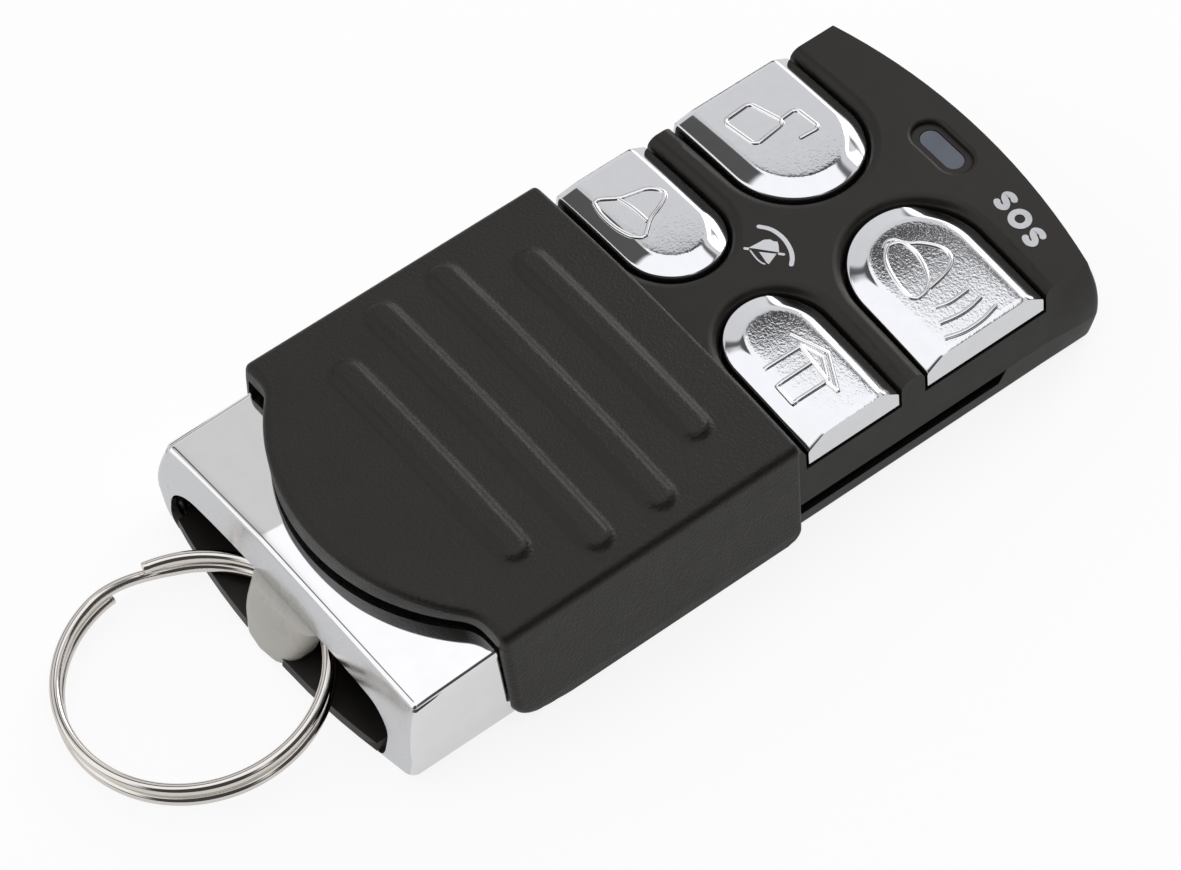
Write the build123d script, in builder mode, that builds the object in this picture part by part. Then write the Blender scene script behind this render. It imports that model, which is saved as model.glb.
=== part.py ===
from build123d import *
import math
import os

os.makedirs("parts", exist_ok=True)

# Frame: the fob lies on its back. X is across it, +Y points to the end with the lamp,
# +Z points up, and the origin is on the flat back, under the middle of the body.

# Body
body_half = 14.7
body_draft = 0.6
deck_crown = 0.8
parting_z = 2.65
lamp_corner_y = 30.65
lamp_bow = 1.75
body_corner_radius = 0.7
seam_gap = 0.4
wall = 1.1
roof = 1.0
floor = 1.0
back_edge_radius = 0.5
overrun = 1.0
shape_tolerance = 0.01

# Deck under the sliding cover
slide_floor_drop = 0.6
deck_step_cover = 1.3

# Button pockets
pocket_floor_thickness = 0.7
pocket_clearance = 0.25
pocket_rim_radius = 0.8

# Buttons: a far pair and a near pair, each a bar with a round inner end
far_key_margin = 4.7
far_key_half = 5.4
far_key_inner_x = 1.8
key_spacing = 2.65
near_key_half = 4.1
near_key_inner_x = 2.0
key_stop_gap = 0.1
key_foot_drop = 0.6
key_bevel = 1.4
key_stand = 0.3
key_crown = 0.6
key_travel = 0.3
stem_inset = 6.5
stem_radius = 1.3
stem_clearance = 0.2

# Push switches under the buttons
switch_side = 5.0
switch_height = 1.4
plunger_radius = 1.0
plunger_clearance = 0.1
plunger_gap = 0.05
plunger_depth = 0.45
plunger_well_gap = 0.15
plunger_head_gap = 0.1

# Circuit board
board_thickness = 0.8
board_side_gap = 0.4
board_seat_gap = 0.05
board_ring_gap = 0.4
board_end_gap = 0.25
board_corner_radius = 0.8

# Coin cell and its contacts
cell_side_gap = 3.6
cell_thickness = 3.2
cell_rim = 0.4
cell_end_gap = 0.2
cell_skirt = 1.1
cell_step = 0.5
contact_thickness = 0.3
contact_gap = 0.02
clip_thickness = 0.2
clip_width = 4.0
clip_gap = 0.2
clip_foot = 1.4
bay_gap = 0.16
negative_radius = 3.0

# Lamp and its window
lamp_back = 2.05
window_length = 4.2
window_width = 1.7
window_recess_length = 5.3
window_recess_width = 2.6
window_recess_depth = 0.4
window_rim_radius = 0.35
window_clearance = 0.05
window_flange = 0.35
window_flange_thickness = 0.5
lamp_length = 2.0
lamp_width = 1.25
lamp_height = 0.8
lamp_gap = 0.2
lamp_pocket_length = 12.0
lamp_pocket_width = 3.3

# Parts under the board
controller_length = 6.0
controller_width = 4.4
controller_height = 1.0
controller_x = -3.5
controller_ahead = 0.6
radio_side = 4.0
radio_height = 0.9
radio_x = 4.5
radio_ahead = 4.1
crystal_length = 3.2
crystal_width = 2.5
crystal_height = 0.8
crystal_x = 4.5
crystal_back = 1.4
chip_part_length = 1.6
chip_part_width = 0.8
chip_part_height = 0.6
chip_part_count = 6
chip_part_pitch = 2.4
chip_part_back = 3.05
antenna_section = 0.6
antenna_inset = 1.6
antenna_ring_gap = 2.6
antenna_back = 5.4
antenna_bend = 2.0

# Lower housing
rail_wall = 1.2
groove_bottom_z = 1.45
groove_end_gap = 0.2
groove_end_slant = 0.7
ledge_fit = 0.1
ledge_bow = 1.85
ledge_corner_past = 0.3

# Chrome end cap
cap_length = 11.3
cap_face_lean = 0.35
cap_ring_drop = 0.5
cap_bottom_inset = 0.35
cap_wall = 1.0
cap_fit = 0.1
slot_side = 1.8
slot_top_z = 4.4
slot_corner_radius = 2.2
slot_depth = 5.0
bulkhead = 1.0
slot_roof = 0.8
slot_roof_gap = 0.2

# Post that the split ring is looped round
post_top_half = 3.4
post_bottom_half = 2.3
post_inset = 0.8
post_back_bow = 0.6
post_top_stand = 0.45
post_foot_inset = 0.15
post_front_bow = 0.25
post_bottom_z = 0.2
post_neck_thickness = 0.6
post_arm_thickness = 0.9
post_arm_gap = 0.3
post_fit = 0.1

# Split ring, two turns of round wire
ring_x = -0.5
ring_reach = 7.8
ring_wire_radius = 0.43
ring_turn_radius = 9.43
ring_pitch = 1.28
ring_lean_back = 0.09
ring_lean_side = 0.05
ring_jog_angle = 172.5
ring_jog_span = 45.0
ring_floor_gap = 0.03

# Sliding cover
cover_front_gap = 1.4
cover_past_seam = 3.9
cover_bottom_z = 0.2
cover_wall = 0.7
cover_draft_z = 1.2
cover_draft = 0.75
cover_deck_gap = 0.9
cover_crown = 0.7
cover_running_gap = 0.2
cover_roof = 1.0
cover_crease_radius = 0.45
cover_back_corner_radius = 2.2
cover_front_corner_radius = 1.0
cover_back_lean = 0.5
tongue_length = 5.1
tongue_shoulder = 2.26
tongue_blend_radius = 3.0
tongue_gap = 0.3
tongue_rim = 1.1
lip_back_gap = 0.4
lip_front_inset = 5.3
lip_depth = 0.9
lip_gap = 0.12
lip_side_gap = 0.3
cover_stop_back = 3.75

# Grip ribs on the cover: how far each is behind its front, and how far it ends from the crease
rib_width = 2.4
rib_height = 0.4
rib_edge_radius = 0.2
rib_root = 0.4
rib_places = [(4.8, 4.45), (10.3, 1.55), (15.75, 1.55), (20.8, 4.25)]

# Screws
screw_radius = 0.8
screw_head_radius = 1.5
screw_head_height = 0.9
screw_length = 5.7
screw_head_sink = 0.1
screw_clearance = 0.15
screw_pilot_gap = 0.02
screw_slot_depth = 0.35
screw_slot_width = 0.4
boss_radius = 1.9
lamp_screw_inset = 3.8
lamp_screw_back = 2.65
ring_screw_inset = 3.5
ring_screw_back = 2.6
boss_gap = 0.05


# Derived sizes: across the body
crease_half = body_half - body_draft
inner_half = body_half - wall
bay_half = inner_half - deck_crown
board_half = inner_half - board_side_gap
cell_radius = inner_half - cell_side_gap
cell_negative_radius = cell_radius - cell_skirt
stem_x = body_half - stem_inset
antenna_half = board_half - antenna_inset
slot_half = body_half - slot_side
ledge_corner_half = body_half + ledge_corner_past
cap_inner_half = body_half - cap_wall
lamp_screw_x = body_half - lamp_screw_inset
ring_screw_x = body_half - ring_screw_inset
cover_inner_half = body_half + cover_running_gap
cover_bottom_half = cover_inner_half + cover_wall
cover_crease_half = cover_bottom_half - cover_draft
groove_half = cover_inner_half - lip_depth - lip_side_gap
lower_cavity_half = groove_half - rail_wall

# Derived heights, from the board up through the cell and the switches
board_bottom_z = parting_z + board_seat_gap
board_top_z = board_bottom_z + board_thickness
switch_top_z = board_top_z + switch_height
plunger_top_z = switch_top_z + key_travel
plunger_well = plunger_depth + key_travel + plunger_well_gap
pocket_ceiling_z = plunger_top_z + plunger_head_gap
pocket_floor_z = pocket_ceiling_z + pocket_floor_thickness
cell_bottom_z = board_top_z + contact_thickness + contact_gap
cell_top_z = cell_bottom_z + cell_thickness
clip_top_z = cell_top_z + contact_gap
bay_ceiling_z = clip_top_z + clip_thickness + bay_gap
slide_floor_z = bay_ceiling_z + roof
deck_top_z = slide_floor_z + slide_floor_drop
crease_z = deck_top_z - deck_crown
key_top_z = deck_top_z + key_stand
key_foot_z = crease_z - key_foot_drop
key_edge_z = key_top_z - key_crown
key_bottom_z = pocket_floor_z + key_travel + key_stop_gap
stem_end_z = plunger_top_z + plunger_gap
cap_ring_top_z = slide_floor_z - cap_ring_drop
slot_roof_z = slot_top_z + slot_roof_gap
slot_block_z = slot_roof_z + slot_roof
post_arm_top_z = slot_block_z + post_fit + post_arm_thickness
cover_crease_z = crease_z + cover_deck_gap + cover_roof
tongue_under_z = slide_floor_z + tongue_gap
screw_tip_z = screw_head_sink + screw_length

# Derived places along the body, from the lamp end to the ring
lamp_apex_y = lamp_corner_y + lamp_bow
lamp_wall_y = lamp_corner_y - wall
board_lamp_y = lamp_wall_y - board_end_gap
lamp_y = lamp_corner_y - lamp_back
lamp_screw_y = lamp_corner_y - lamp_screw_back
far_key_y = lamp_corner_y - far_key_margin - far_key_half
near_key_y = far_key_y - far_key_half - key_spacing - near_key_half
chip_part_y = far_key_y - chip_part_back
radio_y = near_key_y + radio_ahead
controller_y = near_key_y + controller_ahead
crystal_y = near_key_y - crystal_back
antenna_lamp_y = near_key_y - antenna_back
cover_front_y = near_key_y - near_key_half - cover_front_gap
cover_travel = lamp_corner_y - cover_stop_back - cover_front_y
deck_step_y = cover_front_y - deck_step_cover
cell_y = deck_step_y - cell_end_gap - cell_radius
seam_y = cell_y - cell_radius - seam_gap
board_ring_y = seam_y + board_ring_gap
antenna_ring_y = board_ring_y + antenna_ring_gap
lip_front_y = cover_front_y - lip_front_inset
lip_back_y = seam_y + lip_back_gap
groove_end_y = lip_front_y + cover_travel + groove_end_gap
cover_back_y = seam_y - cover_past_seam
ring_screw_y = seam_y - ring_screw_back
cap_face_y = seam_y - cap_length
cap_inner_y = cap_face_y + cap_wall
slot_back_y = cap_face_y + slot_depth
ledge_apex_y = cap_face_y - ledge_bow
post_back_y = cap_face_y + post_inset
post_top_front_y = cap_face_y - post_top_stand
post_bottom_front_y = ledge_apex_y + post_foot_inset
post_arm_end_y = slot_back_y - post_arm_gap
ring_y = cap_face_y - ring_reach
far_reach = lamp_apex_y - ledge_apex_y
far_plane = Plane.XZ.offset(-far_reach)

# The tongue's circle touches the hollow blends, which leave a shoulder at each side of the cover.
tongue_blend_x = cover_bottom_half - tongue_shoulder
tongue_radius = (tongue_blend_x**2 + tongue_length**2) / (2 * tongue_length) - tongue_blend_radius
tongue_center_y = cover_back_y - tongue_length + tongue_radius

post_floor_share = (floor - post_bottom_z) / (slot_top_z - post_bottom_z)
post_floor_half = post_bottom_half + (post_top_half - post_bottom_half) * post_floor_share
body_side_slope = (body_half - crease_half) / (crease_z - parting_z)
draft = math.degrees(math.atan(body_side_slope))
keys = {
    "disarm": (-1, far_key_y, far_key_half, far_key_inner_x),
    "sos": (1, far_key_y, far_key_half, far_key_inner_x),
    "arm": (-1, near_key_y, near_key_half, near_key_inner_x),
    "home": (1, near_key_y, near_key_half, near_key_inner_x),
}
lamp_screws = [(-lamp_screw_x, lamp_screw_y), (lamp_screw_x, lamp_screw_y)]
ring_screws = [(-ring_screw_x, ring_screw_y), (ring_screw_x, ring_screw_y)]


def body_outline(ring_end_y):
    """The body seen from above at the parting line: straight sides and a bowed lamp end."""
    with BuildSketch() as outline:
        with BuildLine():
            Polyline(
                (-body_half, lamp_corner_y),
                (-body_half, ring_end_y),
                (body_half, ring_end_y),
                (body_half, lamp_corner_y),
            )
            ThreePointArc((body_half, lamp_corner_y), (0, lamp_apex_y), (-body_half, lamp_corner_y))
        make_face()
        outer_corners = outline.vertices().group_by(Axis.Y)[-1]
        fillet(outer_corners, radius=body_corner_radius)
    return outline.sketch


def side_half(level):
    """Half the drafted body's width at a height above the parting line."""
    return body_half - (level - parting_z) * body_side_slope


def crowned_profile(half, edge_z, crown, bottom_z):
    """A cross-section drawn as (across, up) whose top bows up by the crown between its edges."""
    with BuildSketch() as profile:
        with BuildLine():
            Polyline((-half, edge_z), (-half, bottom_z), (half, bottom_z), (half, edge_z))
            ThreePointArc((-half, edge_z), (0, edge_z + crown), (half, edge_z))
        make_face()
    return profile.sketch


def key_outline(side, inner_x, half, outer_x, grow):
    """A button seen from above, centred on Y = 0: a bar whose inner end is a half circle."""
    round_x = inner_x + half
    with BuildSketch() as outline:
        with BuildLine():
            Polyline(
                (side * round_x, half + grow),
                (side * outer_x, half + grow),
                (side * outer_x, -half - grow),
                (side * round_x, -half - grow),
            )
            ThreePointArc(
                (side * round_x, -half - grow),
                (side * (inner_x - grow), 0),
                (side * round_x, half + grow),
            )
        make_face()
    return outline.sketch


# The crown of the deck is one arc across the body, carried a little past its sides.
deck_radius = (crease_half**2 + deck_crown**2) / (2 * deck_crown)
deck_half = body_half + overrun
deck_edge_z = deck_top_z - deck_radius + math.sqrt(deck_radius**2 - deck_half**2)
deck_edge_crown = deck_top_z - deck_edge_z

# Upper housing: the drafted shell, its crowned deck and four open button pockets
with BuildPart() as upper_housing:
    with BuildSketch(Plane.XY.offset(parting_z)):
        add(body_outline(seam_y - body_half))
    extrude(amount=deck_top_z - parting_z + overrun, taper=draft)
    with BuildSketch(far_plane):
        add(crowned_profile(deck_half, deck_edge_z, deck_edge_crown, parting_z))
    extrude(amount=2 * far_reach, mode=Mode.INTERSECT)
    split(bisect_by=Plane.XZ.offset(-seam_y), keep=Keep.BOTTOM)
    # The floor that the cover's tongue slides over lies lower than the deck.
    with BuildSketch(Plane.XY.offset(slide_floor_z)):
        with Locations((0, deck_step_y)):
            Rectangle(2 * deck_half, far_reach, align=(Align.CENTER, Align.MAX))
    extrude(amount=deck_top_z, mode=Mode.SUBTRACT)
    for side, key_y, half, inner_x in keys.values():
        with BuildSketch(Plane.XY.offset(pocket_floor_z)):
            with Locations((0, key_y)):
                add(key_outline(side, inner_x, half, deck_half, pocket_clearance))
        extrude(amount=deck_top_z, mode=Mode.SUBTRACT)
    rims = (
        upper_housing.edges()
        .filter_by(lambda e: e.center().Z > pocket_floor_z + overrun)
        .filter_by(lambda e: abs(e.center().X) < crease_half - overrun / 2)
        .filter_by(lambda e: deck_step_y + overrun < e.center().Y < lamp_y)
    )
    fillet(rims, radius=pocket_rim_radius)
    # Inside: a low bay right through, a tall bay for the cell and a pocket for the lamp.
    with BuildSketch(Plane.XY.offset(parting_z)):
        with Locations((0, seam_y)):
            Rectangle(2 * inner_half, lamp_wall_y - seam_y, align=(Align.CENTER, Align.MIN))
    extrude(amount=pocket_ceiling_z - parting_z, mode=Mode.SUBTRACT)
    with BuildSketch(Plane.XY.offset(parting_z)):
        with Locations((0, seam_y)):
            Rectangle(2 * bay_half, deck_step_y - seam_y, align=(Align.CENTER, Align.MIN))
    extrude(amount=bay_ceiling_z - parting_z, mode=Mode.SUBTRACT)
    with BuildSketch(Plane.XY.offset(parting_z)):
        with Locations((0, lamp_y)):
            Rectangle(lamp_pocket_length, lamp_pocket_width)
    extrude(amount=bay_ceiling_z - parting_z, mode=Mode.SUBTRACT)
    # Guide holes for the button stems
    for side, key_y, half, inner_x in keys.values():
        with Locations((side * stem_x, key_y, pocket_floor_z)):
            Hole(radius=stem_radius + stem_clearance, depth=pocket_floor_thickness + overrun)
    # Bosses for the two screws at the lamp end
    with BuildSketch(Plane.XY.offset(board_top_z + boss_gap)):
        with Locations(lamp_screws):
            Circle(boss_radius)
    extrude(amount=pocket_ceiling_z - board_top_z - boss_gap)
    with BuildSketch(Plane.XY.offset(board_top_z)):
        with Locations(lamp_screws):
            Circle(screw_radius + screw_pilot_gap)
    extrude(amount=screw_tip_z + screw_clearance - board_top_z, mode=Mode.SUBTRACT)
    # Recess and slot for the lamp's window
    with BuildSketch(Plane.XY.offset(deck_top_z - window_recess_depth)):
        with Locations((0, lamp_y)):
            SlotOverall(window_recess_length, window_recess_width)
    extrude(amount=deck_crown, mode=Mode.SUBTRACT)
    with BuildSketch(Plane.XY.offset(parting_z)):
        with Locations((0, lamp_y)):
            SlotOverall(window_length, window_width)
    extrude(amount=deck_top_z, mode=Mode.SUBTRACT)
    window_rim = (
        upper_housing.edges()
        .filter_by(lambda e: abs(e.center().X) < window_recess_length / 2)
        .filter_by(lambda e: e.center().Z > deck_top_z - window_recess_depth / 2)
        .filter_by(lambda e: abs(e.center().Y - lamp_y) < window_recess_width)
    )
    fillet(window_rim, radius=window_rim_radius)

upper_housing.part.label = "upper_housing"
export_step(upper_housing.part, "parts/upper_housing.step")


# Lower housing: the tray with the rails, the ring's slot and the bowed ledge under it
ledge_radius = (ledge_corner_half**2 + ledge_bow**2) / (2 * ledge_bow)
ledge_half = slot_half - ledge_fit
ledge_side_y = ledge_apex_y + ledge_radius - math.sqrt(ledge_radius**2 - ledge_half**2)
ring_block_half = cap_inner_half - cap_fit
ring_block_y = cap_inner_y + cap_fit
bulkhead_back_y = slot_back_y + bulkhead
with BuildPart() as lower_housing:
    with BuildSketch():
        add(body_outline(seam_y - body_half))
    extrude(amount=parting_z)
    split(bisect_by=Plane.XZ.offset(-seam_y), keep=Keep.BOTTOM)
    back_edges = lower_housing.edges().group_by(Axis.Z)[0].sort_by(Axis.Y)[1:]
    fillet(back_edges, radius=back_edge_radius)
    # Block that closes the fob inside the chrome cap
    with BuildSketch():
        with Locations((0, ring_block_y)):
            Rectangle(
                2 * ring_block_half, seam_y - ring_block_y, align=(Align.CENTER, Align.MIN)
            )
    extrude(amount=parting_z)
    with BuildSketch():
        with Locations((0, ring_block_y)):
            Rectangle(
                2 * ring_block_half, bulkhead_back_y - ring_block_y, align=(Align.CENTER, Align.MIN)
            )
    extrude(amount=slot_block_z)
    # Ledge with its bowed front
    with BuildSketch():
        with BuildLine():
            Polyline(
                (-ledge_half, ledge_side_y),
                (-ledge_half, ring_block_y + overrun),
                (ledge_half, ring_block_y + overrun),
                (ledge_half, ledge_side_y),
            )
            ThreePointArc((ledge_half, ledge_side_y), (0, ledge_apex_y), (-ledge_half, ledge_side_y))
        make_face()
    extrude(amount=floor)
    # Room for the ring
    with BuildSketch(Plane.XY.offset(floor)):
        with Locations((0, slot_back_y)):
            Rectangle(2 * slot_half, far_reach, align=(Align.CENTER, Align.MAX))
    extrude(amount=slot_roof_z - floor, mode=Mode.SUBTRACT)
    # Tray for the board
    with BuildSketch(Plane.XY.offset(floor)):
        with Locations((0, bulkhead_back_y)):
            Rectangle(
                2 * lower_cavity_half, lamp_wall_y - bulkhead_back_y, align=(Align.CENTER, Align.MIN)
            )
    extrude(amount=parting_z - floor, mode=Mode.SUBTRACT)
    # Rails that the cover's lips run in, each with a slanted end
    for side in (-1, 1):
        with BuildSketch(Plane.YZ.offset(side * groove_half)):
            with BuildLine():
                Polyline(
                    (seam_y, groove_bottom_z),
                    (groove_end_y, groove_bottom_z),
                    (groove_end_y + groove_end_slant, parting_z),
                    (seam_y, parting_z),
                    close=True,
                )
            make_face()
        extrude(amount=side * body_half, mode=Mode.SUBTRACT)
    # Tubes and sunk holes for the four screws
    with BuildSketch(Plane.XY.offset(floor / 2)):
        with Locations(lamp_screws + ring_screws):
            Circle(boss_radius)
    extrude(amount=parting_z - floor / 2)
    with Locations(*[(x, y, 0) for x, y in lamp_screws + ring_screws]):
        Cylinder(
            screw_radius + screw_clearance,
            parting_z,
            align=(Align.CENTER, Align.CENTER, Align.MIN),
            mode=Mode.SUBTRACT,
        )
        Cylinder(
            screw_head_radius + screw_clearance,
            screw_head_sink + screw_head_height,
            align=(Align.CENTER, Align.CENTER, Align.MIN),
            mode=Mode.SUBTRACT,
        )
    # Notch in the ledge for the foot of the post
    with BuildSketch():
        with Locations((0, post_back_y + post_fit)):
            Rectangle(2 * (post_floor_half + post_fit), far_reach, align=(Align.CENTER, Align.MAX))
    extrude(amount=floor, mode=Mode.SUBTRACT)

lower_housing.part.label = "lower_housing"
export_step(lower_housing.part, "parts/lower_housing.step")

# End cap: a drafted chrome sleeve with a wide arched slot in its end
with BuildPart() as end_cap:
    cap_top_inset = (slide_floor_z - parting_z) * math.tan(math.radians(draft))
    cap_sections = (
        (0, cap_bottom_inset, cap_bottom_inset),
        (parting_z, 0, 0),
        (slide_floor_z, cap_top_inset, cap_face_lean),
    )
    for level, side_inset, face_inset in cap_sections:
        with BuildSketch(Plane.XY.offset(level)):
            with Locations((0, seam_y - cap_fit)):
                Rectangle(
                    2 * (body_half - side_inset),
                    seam_y - cap_fit - cap_face_y - face_inset,
                    align=(Align.CENTER, Align.MAX),
                )
    loft(ruled=True)
    top_slope = (slide_floor_z - cap_ring_top_z) / (seam_y - cap_face_y)
    split(
        bisect_by=Plane(origin=(0, seam_y, slide_floor_z), z_dir=(0, -top_slope, 1)),
        keep=Keep.BOTTOM,
    )
    with BuildSketch():
        with Locations((0, cap_inner_y)):
            Rectangle(2 * cap_inner_half, far_reach, align=(Align.CENTER, Align.MIN))
    extrude(amount=bay_ceiling_z, mode=Mode.SUBTRACT)
    with BuildSketch(Plane.XZ.offset(-cap_inner_y)):
        with Locations((0, slot_top_z)):
            Rectangle(2 * slot_half, far_reach, align=(Align.CENTER, Align.MAX))
        slot_corners = vertices().group_by(Axis.Y)[-1]
        fillet(slot_corners, radius=slot_corner_radius)
    extrude(amount=far_reach, mode=Mode.SUBTRACT)
    # Room behind the face for the post's neck
    with BuildSketch(Plane.XY.offset(slot_top_z)):
        with Locations((0, cap_inner_y)):
            Rectangle(
                2 * (post_top_half + post_fit),
                post_neck_thickness + post_fit,
                align=(Align.CENTER, Align.MAX),
            )
    extrude(amount=post_arm_top_z + post_fit - slot_top_z, mode=Mode.SUBTRACT)
    # Bosses for the two screws at the ring end
    with BuildSketch(Plane.XY.offset(parting_z + boss_gap)):
        with Locations(ring_screws):
            Circle(boss_radius)
    extrude(amount=bay_ceiling_z - parting_z - boss_gap)
    with BuildSketch(Plane.XY.offset(parting_z)):
        with Locations(ring_screws):
            Circle(screw_radius + screw_pilot_gap)
    extrude(amount=screw_tip_z + screw_clearance - parting_z, mode=Mode.SUBTRACT)

end_cap.part.label = "end_cap"
export_step(end_cap.part, "parts/end_cap.step")

# Post: wide and flush under the chrome, narrow and forward at the ledge, hollow-backed
with BuildPart() as ring_post:
    post_levels = (
        (post_bottom_z, post_bottom_half, post_bottom_front_y),
        (slot_top_z, post_top_half, post_top_front_y),
    )
    for level, half, front_y in post_levels:
        side_y = post_back_y - post_back_bow * half / post_top_half
        with BuildSketch(Plane.XY.offset(level)):
            with BuildLine():
                Line((-half, side_y), (-half, front_y + post_front_bow))
                ThreePointArc(
                    (-half, front_y + post_front_bow), (0, front_y), (half, front_y + post_front_bow)
                )
                Line((half, front_y + post_front_bow), (half, side_y))
                ThreePointArc((half, side_y), (0, post_back_y), (-half, side_y))
            make_face()
    loft(ruled=True)
    # Neck behind the chrome face and the arm that holds it on the slot's roof
    with BuildSketch(Plane.XY.offset(slot_top_z)):
        with Locations((0, cap_inner_y)):
            Rectangle(2 * post_top_half, post_neck_thickness, align=(Align.CENTER, Align.MAX))
    extrude(amount=post_arm_top_z - slot_top_z)
    with BuildSketch(Plane.XY.offset(slot_block_z + post_fit)):
        with Locations((0, cap_inner_y)):
            Rectangle(
                2 * post_top_half, post_arm_end_y - cap_inner_y, align=(Align.CENTER, Align.MIN)
            )
    extrude(amount=post_arm_thickness)

ring_post.part.label = "ring_post"
export_step(ring_post.part, "parts/ring_post.step")


# Circuit board, seated on the tray's side walls
with BuildPart() as circuit_board:
    with BuildSketch(Plane.XY.offset(board_bottom_z)):
        with Locations((0, board_ring_y)):
            Rectangle(
                2 * board_half, board_lamp_y - board_ring_y, align=(Align.CENTER, Align.MIN)
            )
        fillet(vertices(), radius=board_corner_radius)
        with Locations(lamp_screws):
            Circle(screw_radius + screw_clearance, mode=Mode.SUBTRACT)
    extrude(amount=board_thickness)

circuit_board.part.label = "circuit_board"
export_step(circuit_board.part, "parts/circuit_board.step")

# Buttons: bevelled bars with a round inner end, trimmed to the body's drafted side
for name, (side, key_y, half, inner_x) in keys.items():
    round_x = side * (inner_x + half)
    section = Plane(origin=(round_x, key_y, 0), x_dir=(0, 1, 0), z_dir=(1, 0, 0))
    with BuildPart() as button:
        with BuildSketch(section):
            with BuildLine():
                Polyline(
                    (-half, key_bottom_z),
                    (half, key_bottom_z),
                    (half, key_foot_z),
                    (half - key_bevel, key_top_z),
                    (key_bevel - half, key_top_z),
                    (-half, key_foot_z),
                    close=True,
                )
            make_face()
        extrude(amount=side * body_half)
        with BuildSketch(section):
            with BuildLine():
                Polyline(
                    (0, key_bottom_z),
                    (half, key_bottom_z),
                    (half, key_foot_z),
                    (half - key_bevel, key_top_z),
                    (0, key_top_z),
                    close=True,
                )
            make_face()
        revolve(axis=Axis((round_x, key_y, 0), (0, 0, 1)))
        with BuildSketch(far_plane):
            with BuildLine():
                Polyline(
                    (-side_half(key_edge_z), key_edge_z),
                    (-side_half(key_bottom_z), key_bottom_z),
                    (side_half(key_bottom_z), key_bottom_z),
                    (side_half(key_edge_z), key_edge_z),
                )
                ThreePointArc(
                    (side_half(key_edge_z), key_edge_z),
                    (0, key_top_z),
                    (-side_half(key_edge_z), key_edge_z),
                )
            make_face()
        extrude(amount=2 * far_reach, mode=Mode.INTERSECT)
        with BuildSketch(Plane.XY.offset(stem_end_z)):
            with Locations((side * stem_x, key_y)):
                Circle(stem_radius)
        extrude(amount=key_foot_z - stem_end_z)
    button.part.label = name + "_button"
    export_step(button.part, "parts/" + name + "_button.step")

# Push switches on the board, each with a loose plunger in its well
for name, (side, key_y, half, inner_x) in keys.items():
    with BuildPart() as switch:
        with BuildSketch(Plane.XY.offset(board_top_z)):
            with Locations((side * stem_x, key_y)):
                Rectangle(switch_side, switch_side)
        extrude(amount=switch_height)
        with BuildSketch(Plane.XY.offset(switch_top_z)):
            with Locations((side * stem_x, key_y)):
                Circle(plunger_radius + plunger_clearance)
        extrude(amount=-plunger_well, mode=Mode.SUBTRACT)
    switch.part.label = name + "_switch"
    export_step(switch.part, "parts/" + name + "_switch.step")

    with BuildPart() as plunger:
        with BuildSketch(Plane.XY.offset(switch_top_z - plunger_depth)):
            with Locations((side * stem_x, key_y)):
                Circle(plunger_radius)
        extrude(amount=plunger_depth + key_travel)
    plunger.part.label = name + "_plunger"
    export_step(plunger.part, "parts/" + name + "_plunger.step")

# Coin cell: a can with its smaller negative face below
with BuildPart() as coin_cell:
    with BuildSketch(Plane.XY.offset(cell_bottom_z)):
        with Locations((0, cell_y)):
            Circle(cell_negative_radius)
    extrude(amount=cell_step)
    with BuildSketch(Plane.XY.offset(cell_bottom_z + cell_step)):
        with Locations((0, cell_y)):
            Circle(cell_radius)
    extrude(amount=cell_thickness - cell_step)
    fillet(coin_cell.edges().group_by(Axis.Z)[-1], radius=cell_rim)

coin_cell.part.label = "coin_cell"
export_step(coin_cell.part, "parts/coin_cell.step")

# Spring strip over the cell, bent down to the board on both sides
clip_leg_x = cell_radius + clip_gap
with BuildPart() as positive_contact:
    with BuildSketch(Plane.XZ.offset(-cell_y - clip_width / 2)):
        with Locations((0, clip_top_z)):
            Rectangle(
                2 * (clip_leg_x + clip_thickness), clip_thickness, align=(Align.CENTER, Align.MIN)
            )
        with Locations((clip_leg_x, board_top_z), (-clip_leg_x - clip_thickness, board_top_z)):
            Rectangle(clip_thickness, clip_top_z - board_top_z, align=(Align.MIN, Align.MIN))
        with Locations((clip_leg_x, board_top_z), (-clip_leg_x - clip_foot, board_top_z)):
            Rectangle(clip_foot, clip_thickness, align=(Align.MIN, Align.MIN))
    extrude(amount=clip_width)

positive_contact.part.label = "positive_contact"
export_step(positive_contact.part, "parts/positive_contact.step")

with BuildPart() as negative_contact:
    with BuildSketch(Plane.XY.offset(board_top_z)):
        with Locations((0, cell_y)):
            Circle(negative_radius)
            Rectangle(negative_radius, cell_radius, align=(Align.CENTER, Align.MIN))
    extrude(amount=contact_thickness)

negative_contact.part.label = "negative_contact"
export_step(negative_contact.part, "parts/negative_contact.step")

# Lamp on the board and the clear window that carries its light to the deck
with BuildPart() as status_lamp:
    with BuildSketch(Plane.XY.offset(board_top_z)):
        with Locations((0, lamp_y)):
            Rectangle(lamp_length, lamp_width)
    extrude(amount=lamp_height)

status_lamp.part.label = "status_lamp"
export_step(status_lamp.part, "parts/status_lamp.step")

window_foot_z = board_top_z + lamp_height + lamp_gap
window_top_z = deck_top_z - window_recess_depth - window_clearance
with BuildPart() as lamp_window:
    with BuildSketch(Plane.XY.offset(window_foot_z)):
        with Locations((0, lamp_y)):
            SlotOverall(window_length - 2 * window_clearance, window_width - 2 * window_clearance)
    extrude(amount=window_top_z - window_foot_z)
    with BuildSketch(Plane.XY.offset(bay_ceiling_z - window_clearance)):
        with Locations((0, lamp_y)):
            SlotOverall(window_length + 2 * window_flange, window_width + 2 * window_flange)
    extrude(amount=-window_flange_thickness)

lamp_window.part.label = "lamp_window"
export_step(lamp_window.part, "parts/lamp_window.step")

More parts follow.
